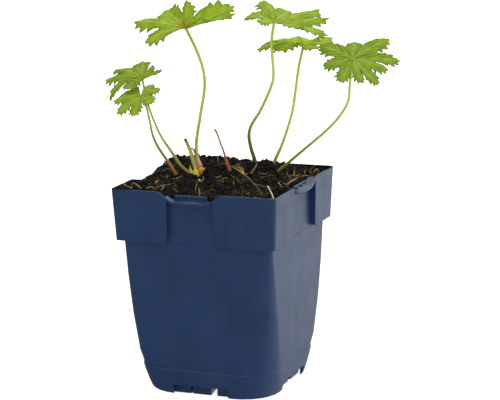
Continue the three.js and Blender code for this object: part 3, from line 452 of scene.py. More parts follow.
def moist_peat():
    """Dug peat, milled and moist: nearly black with dull brown crumbs and no shine."""
    material, tree, shader, place = new_material("moist peat")
    clods = add_node(tree, "ShaderNodeTexNoise", {
        "Vector": place, "Scale": scale_of(5), "Detail": 4, "Roughness": 0.6})
    grit = add_node(tree, "ShaderNodeTexNoise", {
        "Vector": place, "Scale": scale_of(0.9), "Detail": 3, "Roughness": 0.6})
    cloddy = add_node(tree, "ShaderNodeMapRange", {0: clods, 1: 0.35, 2: 0.7})
    gritty = add_node(tree, "ShaderNodeMapRange", {0: grit, 1: 0.35, 2: 0.65})
    share = add_node(tree, "ShaderNodeMath", {0: cloddy, 1: gritty}, operation="MULTIPLY")
    dark = add_node(tree, "ShaderNodeMix", {0: share, 6: "#050404", 7: "#15110d"}, data_type="RGBA")
    tone = add_node(tree, "ShaderNodeAttribute", attribute_name="tone").outputs["Fac"]
    brown = add_node(tree, "ShaderNodeMapRange", {0: tone, 1: 0.6, 2: 1})
    crumbs = add_node(tree, "ShaderNodeMix", {0: brown, 6: dark, 7: "#2e2319"}, data_type="RGBA")
    bump = add_node(tree, "ShaderNodeBump", {"Distance": 0.5 * MM, "Height": grit})
    set_inputs(tree, shader, {
        "Base Color": crumbs, "Roughness": 0.92, "Specular IOR Level": 0.3, "Normal": bump})
    return material


def peat_fibre():
    """Undecayed moss and root fibre in the peat: dry, tan to dark brown, matte."""
    material, tree, shader, place = new_material("peat fibre")
    tone = add_node(tree, "ShaderNodeAttribute", attribute_name="tone").outputs["Fac"]
    strand = add_node(tree, "ShaderNodeValToRGB", {0: tone}, ramp=[
        (0, "#261b11"), (0.45, "#3f2f1b"), (0.75, "#6c552f"), (1, "#a89256")])
    grain = add_node(tree, "ShaderNodeTexNoise", {"Vector": place, "Scale": scale_of(0.7)})
    streak = add_node(tree, "ShaderNodeMapRange", {0: grain, 1: 0.3, 2: 0.7, 4: 0.5})
    colour = add_node(tree, "ShaderNodeMix", {0: streak, 6: strand, 7: "#33261a"}, data_type="RGBA")
    set_inputs(tree, shader, {"Base Color": colour, "Roughness": 0.8})
    return material


def leaf_skin(name, light, dark, vein, pale, through, share):
    """A thin living leaf: light passes through it, so that the shaded side glows yellow-green."""
    material, tree, shader, place = new_material(name)
    mottle = add_node(tree, "ShaderNodeTexNoise", {
        "Vector": place, "Scale": scale_of(5), "Detail": 3, "Roughness": 0.6})
    patches = add_node(tree, "ShaderNodeMapRange", {0: mottle, 1: 0.38, 2: 0.62})
    flesh = add_node(tree, "ShaderNodeMix", {0: patches, 6: light, 7: dark}, data_type="RGBA")
    # the darkening tint is left off the middle_low blade, as painted light where it lies in shade
    tints = (("darker_tone", 1, "#5c7c24"), ("edge", 0.45, "#55701f"), ("vein", vein, pale),
             ("red", 1, "#b4683a"), ("tip", 0.6, "#4c4a20"))
    for label, strength, tint in tints:
        mark = add_node(tree, "ShaderNodeAttribute", attribute_name=label).outputs["Fac"]
        covered = add_node(tree, "ShaderNodeMath", {0: mark, 1: strength}, operation="MULTIPLY")
        flesh = add_node(tree, "ShaderNodeMix", {0: covered, 6: flesh, 7: tint}, data_type="RGBA")
    # cushions between the fine veins, about 1.6 mm across
    cushions = add_node(tree, "ShaderNodeTexNoise", {"Vector": place, "Scale": scale_of(1.6)})
    bump = add_node(tree, "ShaderNodeBump", {"Distance": 0.5 * MM, "Height": cushions})
    set_inputs(tree, shader, {
        "Base Color": flesh, "Roughness": 0.6, "IOR": 1.4, "Specular IOR Level": 0.2, "Normal": bump})
    glow = add_node(tree, "ShaderNodeMix", {0: 1.0, 6: flesh, 7: through},
                    data_type="RGBA", blend_type="MULTIPLY")
    back_light = add_node(tree, "ShaderNodeBsdfTranslucent", {0: glow})
    both = add_node(tree, "ShaderNodeMixShader", {0: share, 1: shader, 2: back_light})
    set_inputs(tree, tree.nodes["Material Output"], {"Surface": both})
    return material


def stalk_skin(name, roughness, streak_colour, streaks, depth):
    """Skin of a stalk, root or straw: its colour runs along it, with fine lengthwise streaks."""
    material, tree, shader, place = new_material(name)
    skin = add_node(tree, "ShaderNodeAttribute", attribute_name="skin").outputs["Color"]
    drawn_out = add_node(tree, "ShaderNodeMapping", {0: place, 3: (1, 1, 0.15)})
    lines = add_node(tree, "ShaderNodeTexNoise", {
        "Vector": drawn_out, "Scale": scale_of(0.5), "Detail": 3, "Roughness": 0.6})
    streaked = add_node(tree, "ShaderNodeMapRange", {0: lines, 1: 0.42, 2: 0.75, 4: streaks})
    colour = add_node(tree, "ShaderNodeMix", {0: streaked, 6: skin, 7: streak_colour}, data_type="RGBA")
    bump = add_node(tree, "ShaderNodeBump", {"Distance": depth * MM, "Height": lines})
    set_inputs(tree, shader, {"Base Color": colour, "Roughness": roughness, "IOR": 1.4, "Normal": bump})
    return material


def expanded_perlite():
    """Perlite, popped by heat into white crumbs: chalky and rough."""
    material, tree, shader, place = new_material("expanded perlite")
    pits = add_node(tree, "ShaderNodeTexNoise", {
        "Vector": place, "Scale": scale_of(0.4), "Detail": 3, "Roughness": 0.6})
    colour = add_node(tree, "ShaderNodeMix", {0: pits, 6: "#b9b4a8", 7: "#f0ece2"}, data_type="RGBA")
    bump = add_node(tree, "ShaderNodeBump", {"Distance": 0.2 * MM, "Height": pits})
    set_inputs(tree, shader, {"Base Color": colour, "Roughness": 0.9, "Normal": bump})
    return material


def lit_acrylic():
    """Opal acrylic of a light table, cast and sanded matt: it glows evenly from below, so that
    what stands on it throws almost no shadow."""
    material, tree, shader, _ = new_material("lit opal acrylic")
    set_inputs(tree, shader, {
        "Base Color": "#c8c8c8", "Roughness": 0.9, "Specular IOR Level": 0.0,
        "Emission Color": "#ffffff", "Emission Strength": 0.82})
    return material


PLASTIC = moulded_polypropylene()
PEAT = moist_peat()
FIBRE = peat_fibre()
UPPER_SIDE = leaf_skin("geranium leaf, upper side", "#b0ca38", "#94b02c", 0.38, "#d8e48a", "#f6fa60", 0.4)
UNDERSIDE = leaf_skin("geranium leaf, underside", "#e4f284", "#cede66", 0.5, "#ecf4b0", "#fefe8c", 0.74)
STALK = stalk_skin("downy geranium stalk", 0.5, "#7c8f34", 0.35, 0.12)
SHEATH = stalk_skin("papery leaf sheath", 0.6, "#8a5a40", 0.5, 0.2)
DRY_STALK = stalk_skin("dried cut stalk", 0.7, "#6b3325", 0.6, 0.25)
ROOT = stalk_skin("living root skin", 0.65, "#7a5a26", 0.6, 0.3)
STRAW = stalk_skin("dry straw", 0.6, "#8f7740", 0.5, 0.15)
PERLITE = expanded_perlite()


# ---- Stalks, roots and straws: round lines with a wobble and fine hairs ----
def stalk_tree():
    tree, given = new_tree("Stalk", [
        ("Line", "Geometry"), ("Sides", "Int"), ("Wobble", "Float"), ("Wobble Size", "Float"),
        ("Hair Density", "Float"), ("Hair Length", "Float"), ("Hair Radius", "Float"),
        ("Seed", "Int"), ("Material", "Material")])
    curve = add_node(tree, "GeometryNodeMeshToCurve", {0: given["Line"]})
    profile = add_node(tree, "GeometryNodeCurvePrimitiveCircle", {"Resolution": given["Sides"], 4: 1.0})
    thickness = add_node(tree, "GeometryNodeInputNamedAttribute", {0: "thickness"}, data_type="FLOAT")
    tube = add_node(tree, "GeometryNodeCurveToMesh", {0: curve, 1: profile, 2: thickness, 3: True})
    rough = add_node(tree, "ShaderNodeTexNoise", {"Scale": given["Wobble Size"], "Detail": 2.0})
    centred = add_node(tree, "ShaderNodeMath", {0: rough, 1: 0.5}, operation="SUBTRACT")
    amount = add_node(tree, "ShaderNodeMath", {0: centred, 1: given["Wobble"]}, operation="MULTIPLY")
    normal = add_node(tree, "GeometryNodeInputNormal")
    offset = add_node(tree, "ShaderNodeVectorMath", {0: normal, "Scale": amount}, operation="SCALE")
    bumpy = add_node(tree, "GeometryNodeSetPosition", {0: tube, 3: offset})
    smooth = add_node(tree, "GeometryNodeSetShadeSmooth", {0: bumpy})
    roots = add_node(tree, "GeometryNodeDistributePointsOnFaces", {
        0: bumpy, 4: given["Hair Density"], "Seed": given["Seed"]})
    hair = add_node(tree, "GeometryNodeMeshCone", {
        "Vertices": 3, "Radius Top": 0.0, "Radius Bottom": given["Hair Radius"],
        "Depth": given["Hair Length"]}, fill_type="NONE")
    tilt = add_node(tree, "FunctionNodeRandomValue", {0: (-0.7, -0.7, 0), 1: (0.7, 0.7, 0)},
                    data_type="FLOAT_VECTOR")
    turn = add_node(tree, "FunctionNodeEulerToRotation", {0: tilt})
    leaning = add_node(tree, "FunctionNodeRotateRotation", {0: roots.outputs["Rotation"], 1: turn},
                       rotation_space="LOCAL")
    size = add_node(tree, "FunctionNodeRandomValue", {2: 0.5, 3: 1.0})
    hairs = add_node(tree, "GeometryNodeInstanceOnPoints", {0: roots, 2: hair, 5: leaning, 6: size})
    both = add_node(tree, "GeometryNodeJoinGeometry", {0: smooth})
    set_inputs(tree, both, {0: hairs})
    whole = add_node(tree, "GeometryNodeRealizeInstances", {0: both})
    dressed = add_node(tree, "GeometryNodeSetMaterial", {0: whole, 2: given["Material"]})
    add_node(tree, "NodeGroupOutput", {0: dressed})
    return tree


def line_mesh(name, runs, steps=10):
    """Lines of points as a mesh of edges. Each run has a route, radii and skin colours."""
    points, edges, thickness, skin = [], [], [], []
    for run in runs:
        line = smooth_route(run["route"], steps)
        last = len(run["route"]) - 1
        for k, (spot, place) in enumerate(line):
            if k:
                edges.append((len(points) - 1, len(points)))
            points.append(spot * MM)
            share = place / last
            thickness.append(value_at(run["radii"], share * (len(run["radii"]) - 1)) * MM)
            colours = [Vector(linear(c)[:3]) for c in run["skin"]]
            skin.append(value_at(colours, share * (len(colours) - 1)))
    mesh = bpy.data.meshes.new(name)
    mesh.from_pydata(points, edges, [])
    mesh.attributes.new("thickness", "FLOAT", "POINT").data.foreach_set("value", thickness)
    tint = mesh.attributes.new("skin", "FLOAT_COLOR", "POINT")
    for k, colour in enumerate(skin):
        tint.data[k].color = (*colour, 1)
    return mesh


STALK_TREE = stalk_tree()
HAIR_RADIUS = 0.03  # of a hair at its foot
STALK_SEED = 1


def make_stalks(name, runs, material, sides=12, wobble=0.15, wobble_size=1.5,
                hairs=0.0, hair_length=0.5):
    """One piece of round stalks. Hairs are given for each square millimetre of skin."""
    piece = new_object(name, line_mesh(name, runs))
    return run_tree(piece, STALK_TREE, sides=sides, wobble=wobble * MM, wobble_size=scale_of(wobble_size),
                    hair_density=hairs / MM ** 2, hair_length=hair_length * MM,
                    hair_radius=HAIR_RADIUS * MM, seed=STALK_SEED, material=material)


# ---- Leaf blades ----
def between(turns, values, angle):
    """A value set lobe by lobe, carried smoothly over the angles between them."""
    if angle <= turns[0]:
        return values[0]
    if angle >= turns[-1]:
        return values[-1]
    after = next(k for k, turn in enumerate(turns) if turn > angle)
    share = (angle - turns[after - 1]) / (turns[after] - turns[after - 1])
    return blend(values[after - 1], values[after], eased(share))


def bent_point(plan, distance, angle, off_angle, relief):
    """A point of the flat blade, bent up or down along its own ray without changing its length."""
    rise = math.radians(between(plan["turns"], plan["rise"], angle))
    per_length = [curl / reach for curl, reach in zip(plan["curl"], plan["reach"])]
    curl = math.radians(between(plan["turns"], per_length, angle)) or 1e-6
    along = (math.sin(rise) - math.sin(rise - curl * distance)) / curl
    height = (math.cos(rise - curl * distance) - math.cos(rise)) / curl
    lift = PLEAT * distance * abs(off_angle) / WIDEST_HALF_ANGLE
    azimuth = math.radians(angle)
    return Vector((along * math.cos(azimuth), along * math.sin(azimuth), height + lift + relief))


def to_segment(point, start, end):
    """Distance from a point to a straight piece of vein, and how far along it that is."""
    along = end - start
    share = max(0.0, min(1.0, (point - start).dot(along) / along.length_squared))
    return (point - start - along * share).length, share


def polar(distance, angle):
    return Vector((distance * math.cos(math.radians(angle)), distance * math.sin(math.radians(angle))))


def lobe_outline(reach, room, sinus):
    """Half a lobe's edge on its own flat: rows of edge point, midrib point, share of the row that
    is free edge and how far it hangs, from the stalk out; and the tips of its teeth."""
    rows = [(sinus * (k / INNER_ROWS), FIRST_ROW * reach * k / INNER_ROWS, 0.0, 0.0)
            for k in range(INNER_ROWS)]
    corners = [(sinus, FIRST_ROW, 0.0)]
    corners += [(polar(out * reach, share * room), rib, hang * reach) for out, share, hang, rib in LOBE_EDGE]
    for (start, rib, hang), (end, next_rib, next_hang) in zip(corners, corners[1:]):
        side = end - start
        outward = Vector((-side.y, side.x))
        if outward.dot(start + side * 0.5 - Vector((rib * reach, 0))) < 0:
            outward = -outward
        for step in range(EDGE_STEPS):
            t = step / EDGE_STEPS
            spot = start + side * t + outward * (TOOTH_BULGE * 4 * t * (1 - t))
            rows.append((spot, blend(rib, next_rib, t) * reach, 1.0, blend(hang, next_hang, t)))
    rows.append((corners[-1][0], reach, 1.0, 0.0))
    return rows, [corners[k + 1][0] for k in TOOTH_TIPS]


def half_lobe(plan, lobe, hand, surface, marks):
    """Adds half a lobe to the surface, from its midrib to its toothed edge."""
    turns, reach = plan["turns"], plan["reach"][lobe]
    turn = turns[lobe]
    neighbour = lobe + hand
    if 0 <= neighbour < len(turns):
        angle = abs(turns[neighbour] - turn) / 2
        room = min(angle, WIDEST_HALF_ANGLE)
        sinus = polar(plan["cut"][min(lobe, neighbour)] * min(reach, plan["reach"][neighbour]), angle)
    else:
        room = min(WIDEST_HALF_ANGLE, (360 - turns[-1] + turns[0]) / 2 - BASAL_GAP)
        sinus = polar(plan["fused"] * reach, room)
    rows, tips = lobe_outline(reach, room, sinus)
    veins = [(Vector((0, 0)), Vector((reach, 0)), MIDRIB_WIDTH)]
    for start, tooth in SIDE_VEINS:
        veins.append((Vector((start * reach, 0)), tips[TOOTH_TIPS.index(tooth)], SIDE_VEIN_WIDTH))
    grid = []
    for edge, rib, free, hang in rows:
        line = []
        for k in range(ACROSS_STEPS + 1):
            across = k / ACROSS_STEPS
            flat = Vector((rib, 0)).lerp(edge, 1 - (1 - across) ** 1.25)
            nearest = math.inf
            vein = 0.0
            for start, end, width in veins:
                away, along = to_segment(flat, start, end)
                nearest = min(nearest, away)
                slim = width * (1 - 0.6 * along)
                vein = max(vein, math.exp(-(away / slim) ** 2))
            cushion = QUILTING * (1 - math.exp(-(nearest / CUSHION_WIDTH) ** 2))
            wide, high = BUCKLE_SIZE
            cushion += high * noise.noise(Vector((flat.x / wide, hand * flat.y / wide, turn)))
            relief = cushion * (1 - across ** 5 * free) - hang * across ** 1.4
            if flat.length < 1e-6:
                spot = bent_point(plan, 0, turn, 0, 0)
            else:
                off = math.degrees(math.atan2(flat.y, flat.x))
                spot = bent_point(plan, flat.length, turn + hand * off, off, relief)
            line.append(surface.verts.new(spot * MM))
            edge_share = across ** 6 * free
            tip = math.exp(-(min((flat - point).length for point in tips) / DARK_TIP) ** 2)
            blush = plan["blush"] * math.exp(-(flat.length / BLUSH_WIDTH) ** 2)
            red = blush + plan["rust"] * edge_share
            marks.append((vein, edge_share, tip, red, plan["darker_tone"]))
        grid.append(line)
    for low, high in zip(grid, grid[1:]):
        for k in range(ACROSS_STEPS):
            corners = (low[k], high[k], high[k + 1], low[k + 1])
            surface.faces.new(corners if hand > 0 else corners[::-1])


def make_blade(name, plan):
    """A palmate blade: pleated between its midribs, quilted between its veins, toothed all round."""
    surface = bmesh.new()
    marks = []
    for lobe in range(len(plan["turns"])):
        for hand in (-1, 1):
            half_lobe(plan, lobe, hand, surface, marks)
    layers = [surface.verts.layers.float.new(mark) for mark in ("vein", "edge", "tip", "red", "darker_tone")]
    surface.verts.ensure_lookup_table()
    for vertex, values in zip(surface.verts, marks):
        for layer, value in zip(layers, values):
            vertex[layer] = value
    bmesh.ops.remove_doubles(surface, verts=surface.verts, dist=0.01 * MM)
    bmesh.ops.dissolve_degenerate(surface, edges=surface.edges, dist=0.005 * MM)
    place = Matrix.Translation(Vector(plan["route"][-1]) * MM)
    place @= Matrix.Rotation(math.radians(plan["heading"]), 4, "Z")
    place @= Matrix.Rotation(-math.radians(plan["pitch"]), 4, "Y")
    place @= Matrix.Rotation(math.radians(plan["roll"]), 4, "X")
    surface.transform(place)
    mesh = bpy.data.meshes.new(name)
    surface.to_mesh(mesh)
    surface.free()
    mesh.materials.append(UPPER_SIDE)
    mesh.materials.append(UNDERSIDE)
    mesh.polygons.foreach_set("use_smooth", [True] * len(mesh.polygons))
    piece = new_object(name, mesh)
    thick = piece.modifiers.new("blade", "SOLIDIFY")
    thick.thickness = BLADE_THICKNESS * MM
    thick.offset = 0
    thick.material_offset = 1
    return evaluated(piece)


def make_leaves():
    for name, plan in LEAVES.items():
        node = "leaf_" + name
        finish_piece(make_blade("blade_" + name, plan), "leaf", node)
        radii = [plan["radius"][min(k, len(plan["radius"]) - 1)] for k in range(len(plan["route"]))]
        runs = [{"route": plan["route"], "radii": radii, "skin": plan["skin"]}]
        stalk = make_stalks("stalk_" + name, runs, STALK, sides=14, wobble=0.12, wobble_size=3,
                            hairs=0.8, hair_length=0.7)
        finish_piece(stalk, "leaf", node)


# ---- Soil ----
def bell(x, y, spread_x, spread_y):
    return math.exp(-0.5 * ((x / spread_x) ** 2 + (y / spread_y) ** 2))


def swell(x, y, form):
    """How far a heap or hollow lifts or sinks the peat at a place."""
    middle_x, middle_y, spread_x, spread_y, height = form
    return height * bell(x - middle_x, y - middle_y, spread_x, spread_y)


def to_wall(x, y):
    """How far a place is from the inside of the rim."""
    return max(RIM_HALF - 1 - max(abs(x), abs(y)), 0)


# The heaps, notches and hollows of the peat: where the middle lies, how far it spreads along x
# and y, and how high or deep it is.
HEAP = (-6, 28, 24, 15, 4.9)
MOUNDS = [(0, 13, 7, 6, 1), (16, 25, 7, 6, 3.4)]
LEFT_BANK = (-44, 27, 4, 10, 2.6)
FRONT_CORNER = (-39, -39, 11, 11, 2.6)
BACK_CORNER = (-32, 32, 13, 13, 2.4)
FRONT_NOTCH = (-2, -43, 14, 3, 2.6)
SIDE_NOTCHES = [(-43, 0, 3, 14, 1), (43, 2, 3, 14, 1)]
SIDE_NOTCH_DEPTH = 1.2
CROWN_HOLLOWS = [(-20.5, 6.5, 3.2, 3, 1.5), (-16, 8, 2.5, 2.5, 0.8)]
SOIL_BELOW_RIM = 2.5
WALL_BELOW_RIM = 0.5  # the peat stays this far under the rim along the walls
WALL_SLOPE = 0.5  # and rises no steeper than this from there, the left bank aside


def soil_height(x, y):
    """Height of the peat, heaped behind the crowns and falling off to the walls."""
    heap = swell(x, y, HEAP)
    mounds = sum(swell(x, y, mound) for mound in MOUNDS)
    left_bank = swell(x, y, LEFT_BANK)
    at_notches = swell(x, y, FRONT_NOTCH)
    at_notches += SIDE_NOTCH_DEPTH * sum(swell(x, y, notch) for notch in SIDE_NOTCHES)
    crumbs = 0.6 * math.sin(x / 2.5 + 1.4 * math.sin(y / 4.1)) * math.cos(y / 2.7 + 1.2 * math.sin(x / 4.7))
    banks = swell(x, y, FRONT_CORNER) + swell(x, y, BACK_CORNER) + left_bank
    height = RIM_HEIGHT - SOIL_BELOW_RIM + heap + mounds + banks - at_notches + crumbs
    return min(height, RIM_HEIGHT - WALL_BELOW_RIM + WALL_SLOPE * to_wall(x, y) + left_bank)


def on_soil(plan, lift):
    return [(x, y, soil_height(x, y) + lift) for x, y in plan]


# Places where the peat is pressed smooth under a root.
PRESSED = [spot for run in ROOT_RUNS for spot, _ in smooth_route(on_soil(run["plan"], 0), 6)]


def to_root(x, y):
    return min(math.hypot(x - spot.x, y - spot.y) for spot in PRESSED)


CLOD_SIZE = (4.5, 1.25)  # width and height
GRIT_SIZE = (1.1, 0.5)
PRESSED_WIDTH = 1.6  # how far from a root the peat is still pressed smooth


def rough_height(x, y):
    """The same with the clods and grit that a step of a few millimetres leaves out, and with the
    hollows that the bud scales push up from."""
    clods = noise.fractal(Vector((x, y, 0)) / CLOD_SIZE[0], 0.8, 2.1, 3) * CLOD_SIZE[1]
    grit = noise.noise(Vector((x, y, 7)) / GRIT_SIZE[0]) * GRIT_SIZE[1]
    loose = 1 - 0.9 * math.exp(-(to_root(x, y) / PRESSED_WIDTH) ** 2)
    share = min(1.0, 0.35 + to_wall(x, y) / 6) * loose
    dip = sum(swell(x, y, hollow) for hollow in CROWN_HOLLOWS)
    return soil_height(x, y) - dip + (clods + grit) * share


def within_walls(x, y, margin=0.1):
    """The nearest place inside the pot's walls and the backs of its panels."""
    half = RIM_HALF - WALL - margin
    panel = PANEL_HALF - WALL - margin
    beside = PANEL_SIDE + margin
    limit_x = panel if PANEL_DEEP[0] - beside < y < PANEL_DEEP[1] + beside else half
    limit_y = panel if PANEL_ACROSS[0] - beside < x < PANEL_ACROSS[1] + beside else half
    x = max(-limit_x, min(limit_x, x))
    y = max(-limit_y, min(limit_y, y))
    straight = half - INNER_CORNER
    over_x = abs(x) - straight
    over_y = abs(y) - straight
    if over_x > 0 and over_y > 0:
        shrink = min(1.0, INNER_CORNER / math.hypot(over_x, over_y))
        x = math.copysign(straight + over_x * shrink, x)
        y = math.copysign(straight + over_y * shrink, y)
    return x, y


def is_clear(x, y, margin):
    """1 where a place keeps that far from the walls, else 0."""
    kept = within_walls(x, y, margin)
    return 1.0 if math.hypot(kept[0] - x, kept[1] - y) < 1e-6 else 0.0


SOIL_STEP = 0.55
SOIL_SKIRT = 103  # the fine surface reaches down to here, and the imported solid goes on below
SKIRT_TAPER = 0.992  # how wide the skirt is at its foot, as a share of the surface
SKIRT_GAP = 0.1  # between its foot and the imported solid
CRUMB_ROOM = 1.3  # how far crumbs keep from the walls, and crumbs and fibres from the roots
FIBRE_ROOM = 3.4  # how far fibres keep from the walls


def soil_field():
    """The top of the peat as a fine open surface."""
    surface = bmesh.new()
    count = int(2 * RIM_HALF / SOIL_STEP)
    rows = []
    for j in range(count + 1):
        row = []
        for i in range(count + 1):
            x, y = within_walls((i / count - 0.5) * 2 * RIM_HALF, (j / count - 0.5) * 2 * RIM_HALF)
            row.append(surface.verts.new(Vector((x, y, rough_height(x, y))) * MM))
        rows.append(row)
    for low, high in zip(rows, rows[1:]):
        for k in range(count):
            surface.faces.new((low[k], low[k + 1], high[k + 1], high[k]))
    bmesh.ops.remove_doubles(surface, verts=surface.verts, dist=0.02 * MM)
    bmesh.ops.dissolve_degenerate(surface, edges=surface.edges, dist=0.01 * MM)
    return surface


def close_below(surface):
    """Walls round the open surface and a floor under it."""
    rim = [edge for edge in surface.edges if edge.is_boundary]
    walls = bmesh.ops.extrude_edge_only(surface, edges=rim)["geom"]
    lower = [part for part in walls if isinstance(part, bmesh.types.BMVert)]
    for vertex in lower:
        vertex.co = Vector((vertex.co.x * SKIRT_TAPER, vertex.co.y * SKIRT_TAPER, SOIL_SKIRT * MM))
    bottom = [edge for edge in surface.edges if edge.is_boundary]
    bmesh.ops.contextual_create(surface, geom=bottom)
    bmesh.ops.recalc_face_normals(surface, faces=surface.faces)


def add_packed_block(surface):
    """The packed soil below the fine surface, cut off flat."""
    block = bmesh.new()
    block.from_mesh(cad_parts["soil"].data)
    bmesh.ops.remove_doubles(block, verts=block.verts, dist=SAME_PLACE)
    everything = block.verts[:] + block.edges[:] + block.faces[:]
    cut_height = (SOIL_SKIRT - SKIRT_GAP) * MM
    cut = bmesh.ops.bisect_plane(block, geom=everything, plane_co=(0, 0, cut_height),
                                 plane_no=(0, 0, 1), clear_outer=True)
    open_edges = [part for part in cut["geom_cut"] if isinstance(part, bmesh.types.BMEdge)]
    bmesh.ops.holes_fill(block, edges=open_edges)
    lower = bpy.data.meshes.new("packed block")
    block.to_mesh(lower)
    block.free()
    surface.from_mesh(lower)
    bpy.data.meshes.remove(lower)


ANY_WAY = 6.3  # radians, a little over one turn


def litter_tree():
    """Crumbs, clods and fibres scattered over a surface, each with a tone of its own."""
    tree, given = new_tree("Litter", [
        ("Surface", "Geometry"), ("Crumb Density", "Float"), ("Crumb Smallest", "Float"),
        ("Crumb Largest", "Float"), ("Fibre Density", "Float"), ("Fibre Patch", "Float"),
        ("Fibre Length", "Float"), ("Fibre Radius", "Float"), ("Seed", "Int"),
        ("Peat", "Material"), ("Fibre", "Material")])

    def toned(parts, seed, material):
        """The scattered parts, each with a tone of its own, and their material."""
        tone = add_node(tree, "FunctionNodeRandomValue", {2: 0.0, 3: 1.0, "Seed": seed})
        marked = add_node(tree, "GeometryNodeStoreNamedAttribute", {0: parts, 2: "tone", 3: tone},
                          data_type="FLOAT", domain="INSTANCE")
        return add_node(tree, "GeometryNodeSetMaterial", {0: marked, 2: given[material]})

    lump = add_node(tree, "GeometryNodeMeshCube", {1: 3, 2: 3, 3: 3, 0: (1.4, 1.4, 1.4)})
    place = add_node(tree, "GeometryNodeInputPosition")
    rounded = add_node(tree, "ShaderNodeVectorMath", {0: place}, operation="NORMALIZE")
    choices = add_node(tree, "GeometryNodeJoinGeometry")
    for k in range(3):
        shape = add_node(tree, "ShaderNodeTexNoise", {"W": 3.0 + k, "Scale": 1.1, "Detail": 1.0},
                         noise_dimensions="4D")
        size = add_node(tree, "ShaderNodeMath", {0: shape, 1: 1.7, 2: 0.1}, operation="MULTIPLY_ADD")
        spot = add_node(tree, "ShaderNodeVectorMath", {0: rounded, "Scale": size}, operation="SCALE")
        worn = add_node(tree, "GeometryNodeSetPosition", {0: lump, 2: spot})
        set_inputs(tree, choices, {0: add_node(tree, "GeometryNodeGeometryToInstance", {0: worn})})
    room = add_node(tree, "GeometryNodeInputNamedAttribute", {0: "crumb_room"}, data_type="FLOAT")
    crumb_density = add_node(tree, "ShaderNodeMath", {0: room, 1: given["Crumb Density"]},
                             operation="MULTIPLY")
    spots = add_node(tree, "GeometryNodeDistributePointsOnFaces", {
        0: given["Surface"], 4: crumb_density, "Seed": given["Seed"]})
    spin = add_node(tree, "FunctionNodeRandomValue", {0: (0, 0, 0), 1: (ANY_WAY, ANY_WAY, ANY_WAY)},
                    data_type="FLOAT_VECTOR")
    draw = add_node(tree, "FunctionNodeRandomValue", {2: 0.0, 3: 1.0, "Seed": 5})
    few_large = add_node(tree, "ShaderNodeMath", {0: draw, 1: 3.0}, operation="POWER")
    width = add_node(tree, "ShaderNodeMapRange", {
        0: few_large, 3: given["Crumb Smallest"], 4: given["Crumb Largest"]})
    crumbs = add_node(tree, "GeometryNodeInstanceOnPoints", {
        0: spots, 2: choices, 3: True, 5: spin, 6: width})

    bends = add_node(tree, "GeometryNodeJoinGeometry")
    for lean, lift in ((0.5, 0.12), (-0.35, 0.25), (0.12, 0.05), (0.8, 0.3)):
        curve = add_node(tree, "GeometryNodeCurveQuadraticBezier", {
            0: 6, 1: (-0.5, 0, 0), 2: (0.05, lean, lift), 3: (0.5, 0, 0.03)})
        thin = add_node(tree, "GeometryNodeCurvePrimitiveCircle", {0: 3, 4: given["Fibre Radius"]})
        strand = add_node(tree, "GeometryNodeCurveToMesh", {0: curve, 1: thin, 3: True})
        set_inputs(tree, bends, {0: add_node(tree, "GeometryNodeGeometryToInstance", {0: strand})})
    patches = add_node(tree, "ShaderNodeTexNoise", {"Scale": given["Fibre Patch"], "Detail": 1.0})
    tufts = add_node(tree, "ShaderNodeMapRange", {0: patches, 1: 0.48, 2: 0.62, 3: 0.12, 4: 1.0})
    clear = add_node(tree, "GeometryNodeInputNamedAttribute", {0: "fibre_room"}, data_type="FLOAT")
    allowed = add_node(tree, "ShaderNodeMath", {0: tufts, 1: clear}, operation="MULTIPLY")
    fibre_density = add_node(tree, "ShaderNodeMath", {0: allowed, 1: given["Fibre Density"]},
                             operation="MULTIPLY")
    starts = add_node(tree, "GeometryNodeDistributePointsOnFaces", {
        0: given["Surface"], 4: fibre_density, "Seed": 11})
    lie = add_node(tree, "FunctionNodeRandomValue", {
        0: (-0.35, -0.35, 0), 1: (0.35, 0.35, ANY_WAY), "Seed": 3}, data_type="FLOAT_VECTOR")
    turn = add_node(tree, "FunctionNodeEulerToRotation", {0: lie})
    lying = add_node(tree, "FunctionNodeRotateRotation", {0: starts.outputs["Rotation"], 1: turn},
                     rotation_space="LOCAL")
    length = add_node(tree, "FunctionNodeRandomValue", {2: 0.25, 3: 1.0, "Seed": 4})
    scaled = add_node(tree, "ShaderNodeMath", {0: length, 1: given["Fibre Length"]}, operation="MULTIPLY")
    fibres = add_node(tree, "GeometryNodeInstanceOnPoints", {
        0: starts, 2: bends, 3: True, 5: lying, 6: scaled})

    both = add_node(tree, "GeometryNodeJoinGeometry", {0: toned(crumbs, 9, "Peat")})
    set_inputs(tree, both, {0: toned(fibres, 6, "Fibre")})
    whole = add_node(tree, "GeometryNodeRealizeInstances", {0: both})
    add_node(tree, "NodeGroupOutput", {0: whole})
    return tree


def make_soil():
    surface = soil_field()
    open_top = bpy.data.meshes.new("peat_litter")
    surface.to_mesh(open_top)
    places = [vertex.co / MM for vertex in open_top.vertices]
    off_roots = [1.0 if to_root(place.x, place.y) > CRUMB_ROOM else 0.0 for place in places]
    for label, margin in (("crumb_room", CRUMB_ROOM), ("fibre_room", FIBRE_ROOM)):
        values = [is_clear(place.x, place.y, margin) * off for place, off in zip(places, off_roots)]
        open_top.attributes.new(label, "FLOAT", "POINT").data.foreach_set("value", values)
    close_below(surface)
    add_packed_block(surface)
    mesh = bpy.data.meshes.new("peat")
    surface.to_mesh(mesh)
    surface.free()
    mesh.materials.clear()
    mesh.materials.append(PEAT)
    finish_piece(new_object("peat", mesh), "peat_soil", "soil")
    # densities are for a square millimetre, and a fibre's radius is a share of its length
    litter = run_tree(new_object("peat_litter", open_top), litter_tree(),
                      crumb_density=0.3 / MM ** 2, crumb_smallest=0.3 * MM, crumb_largest=1.5 * MM,
                      fibre_density=0.26 / MM ** 2, fibre_patch=scale_of(13), fibre_length=6 * MM,
                      fibre_radius=0.03, seed=2, peat=PEAT, fibre=FIBRE)
    finish_piece(litter, "peat_soil")


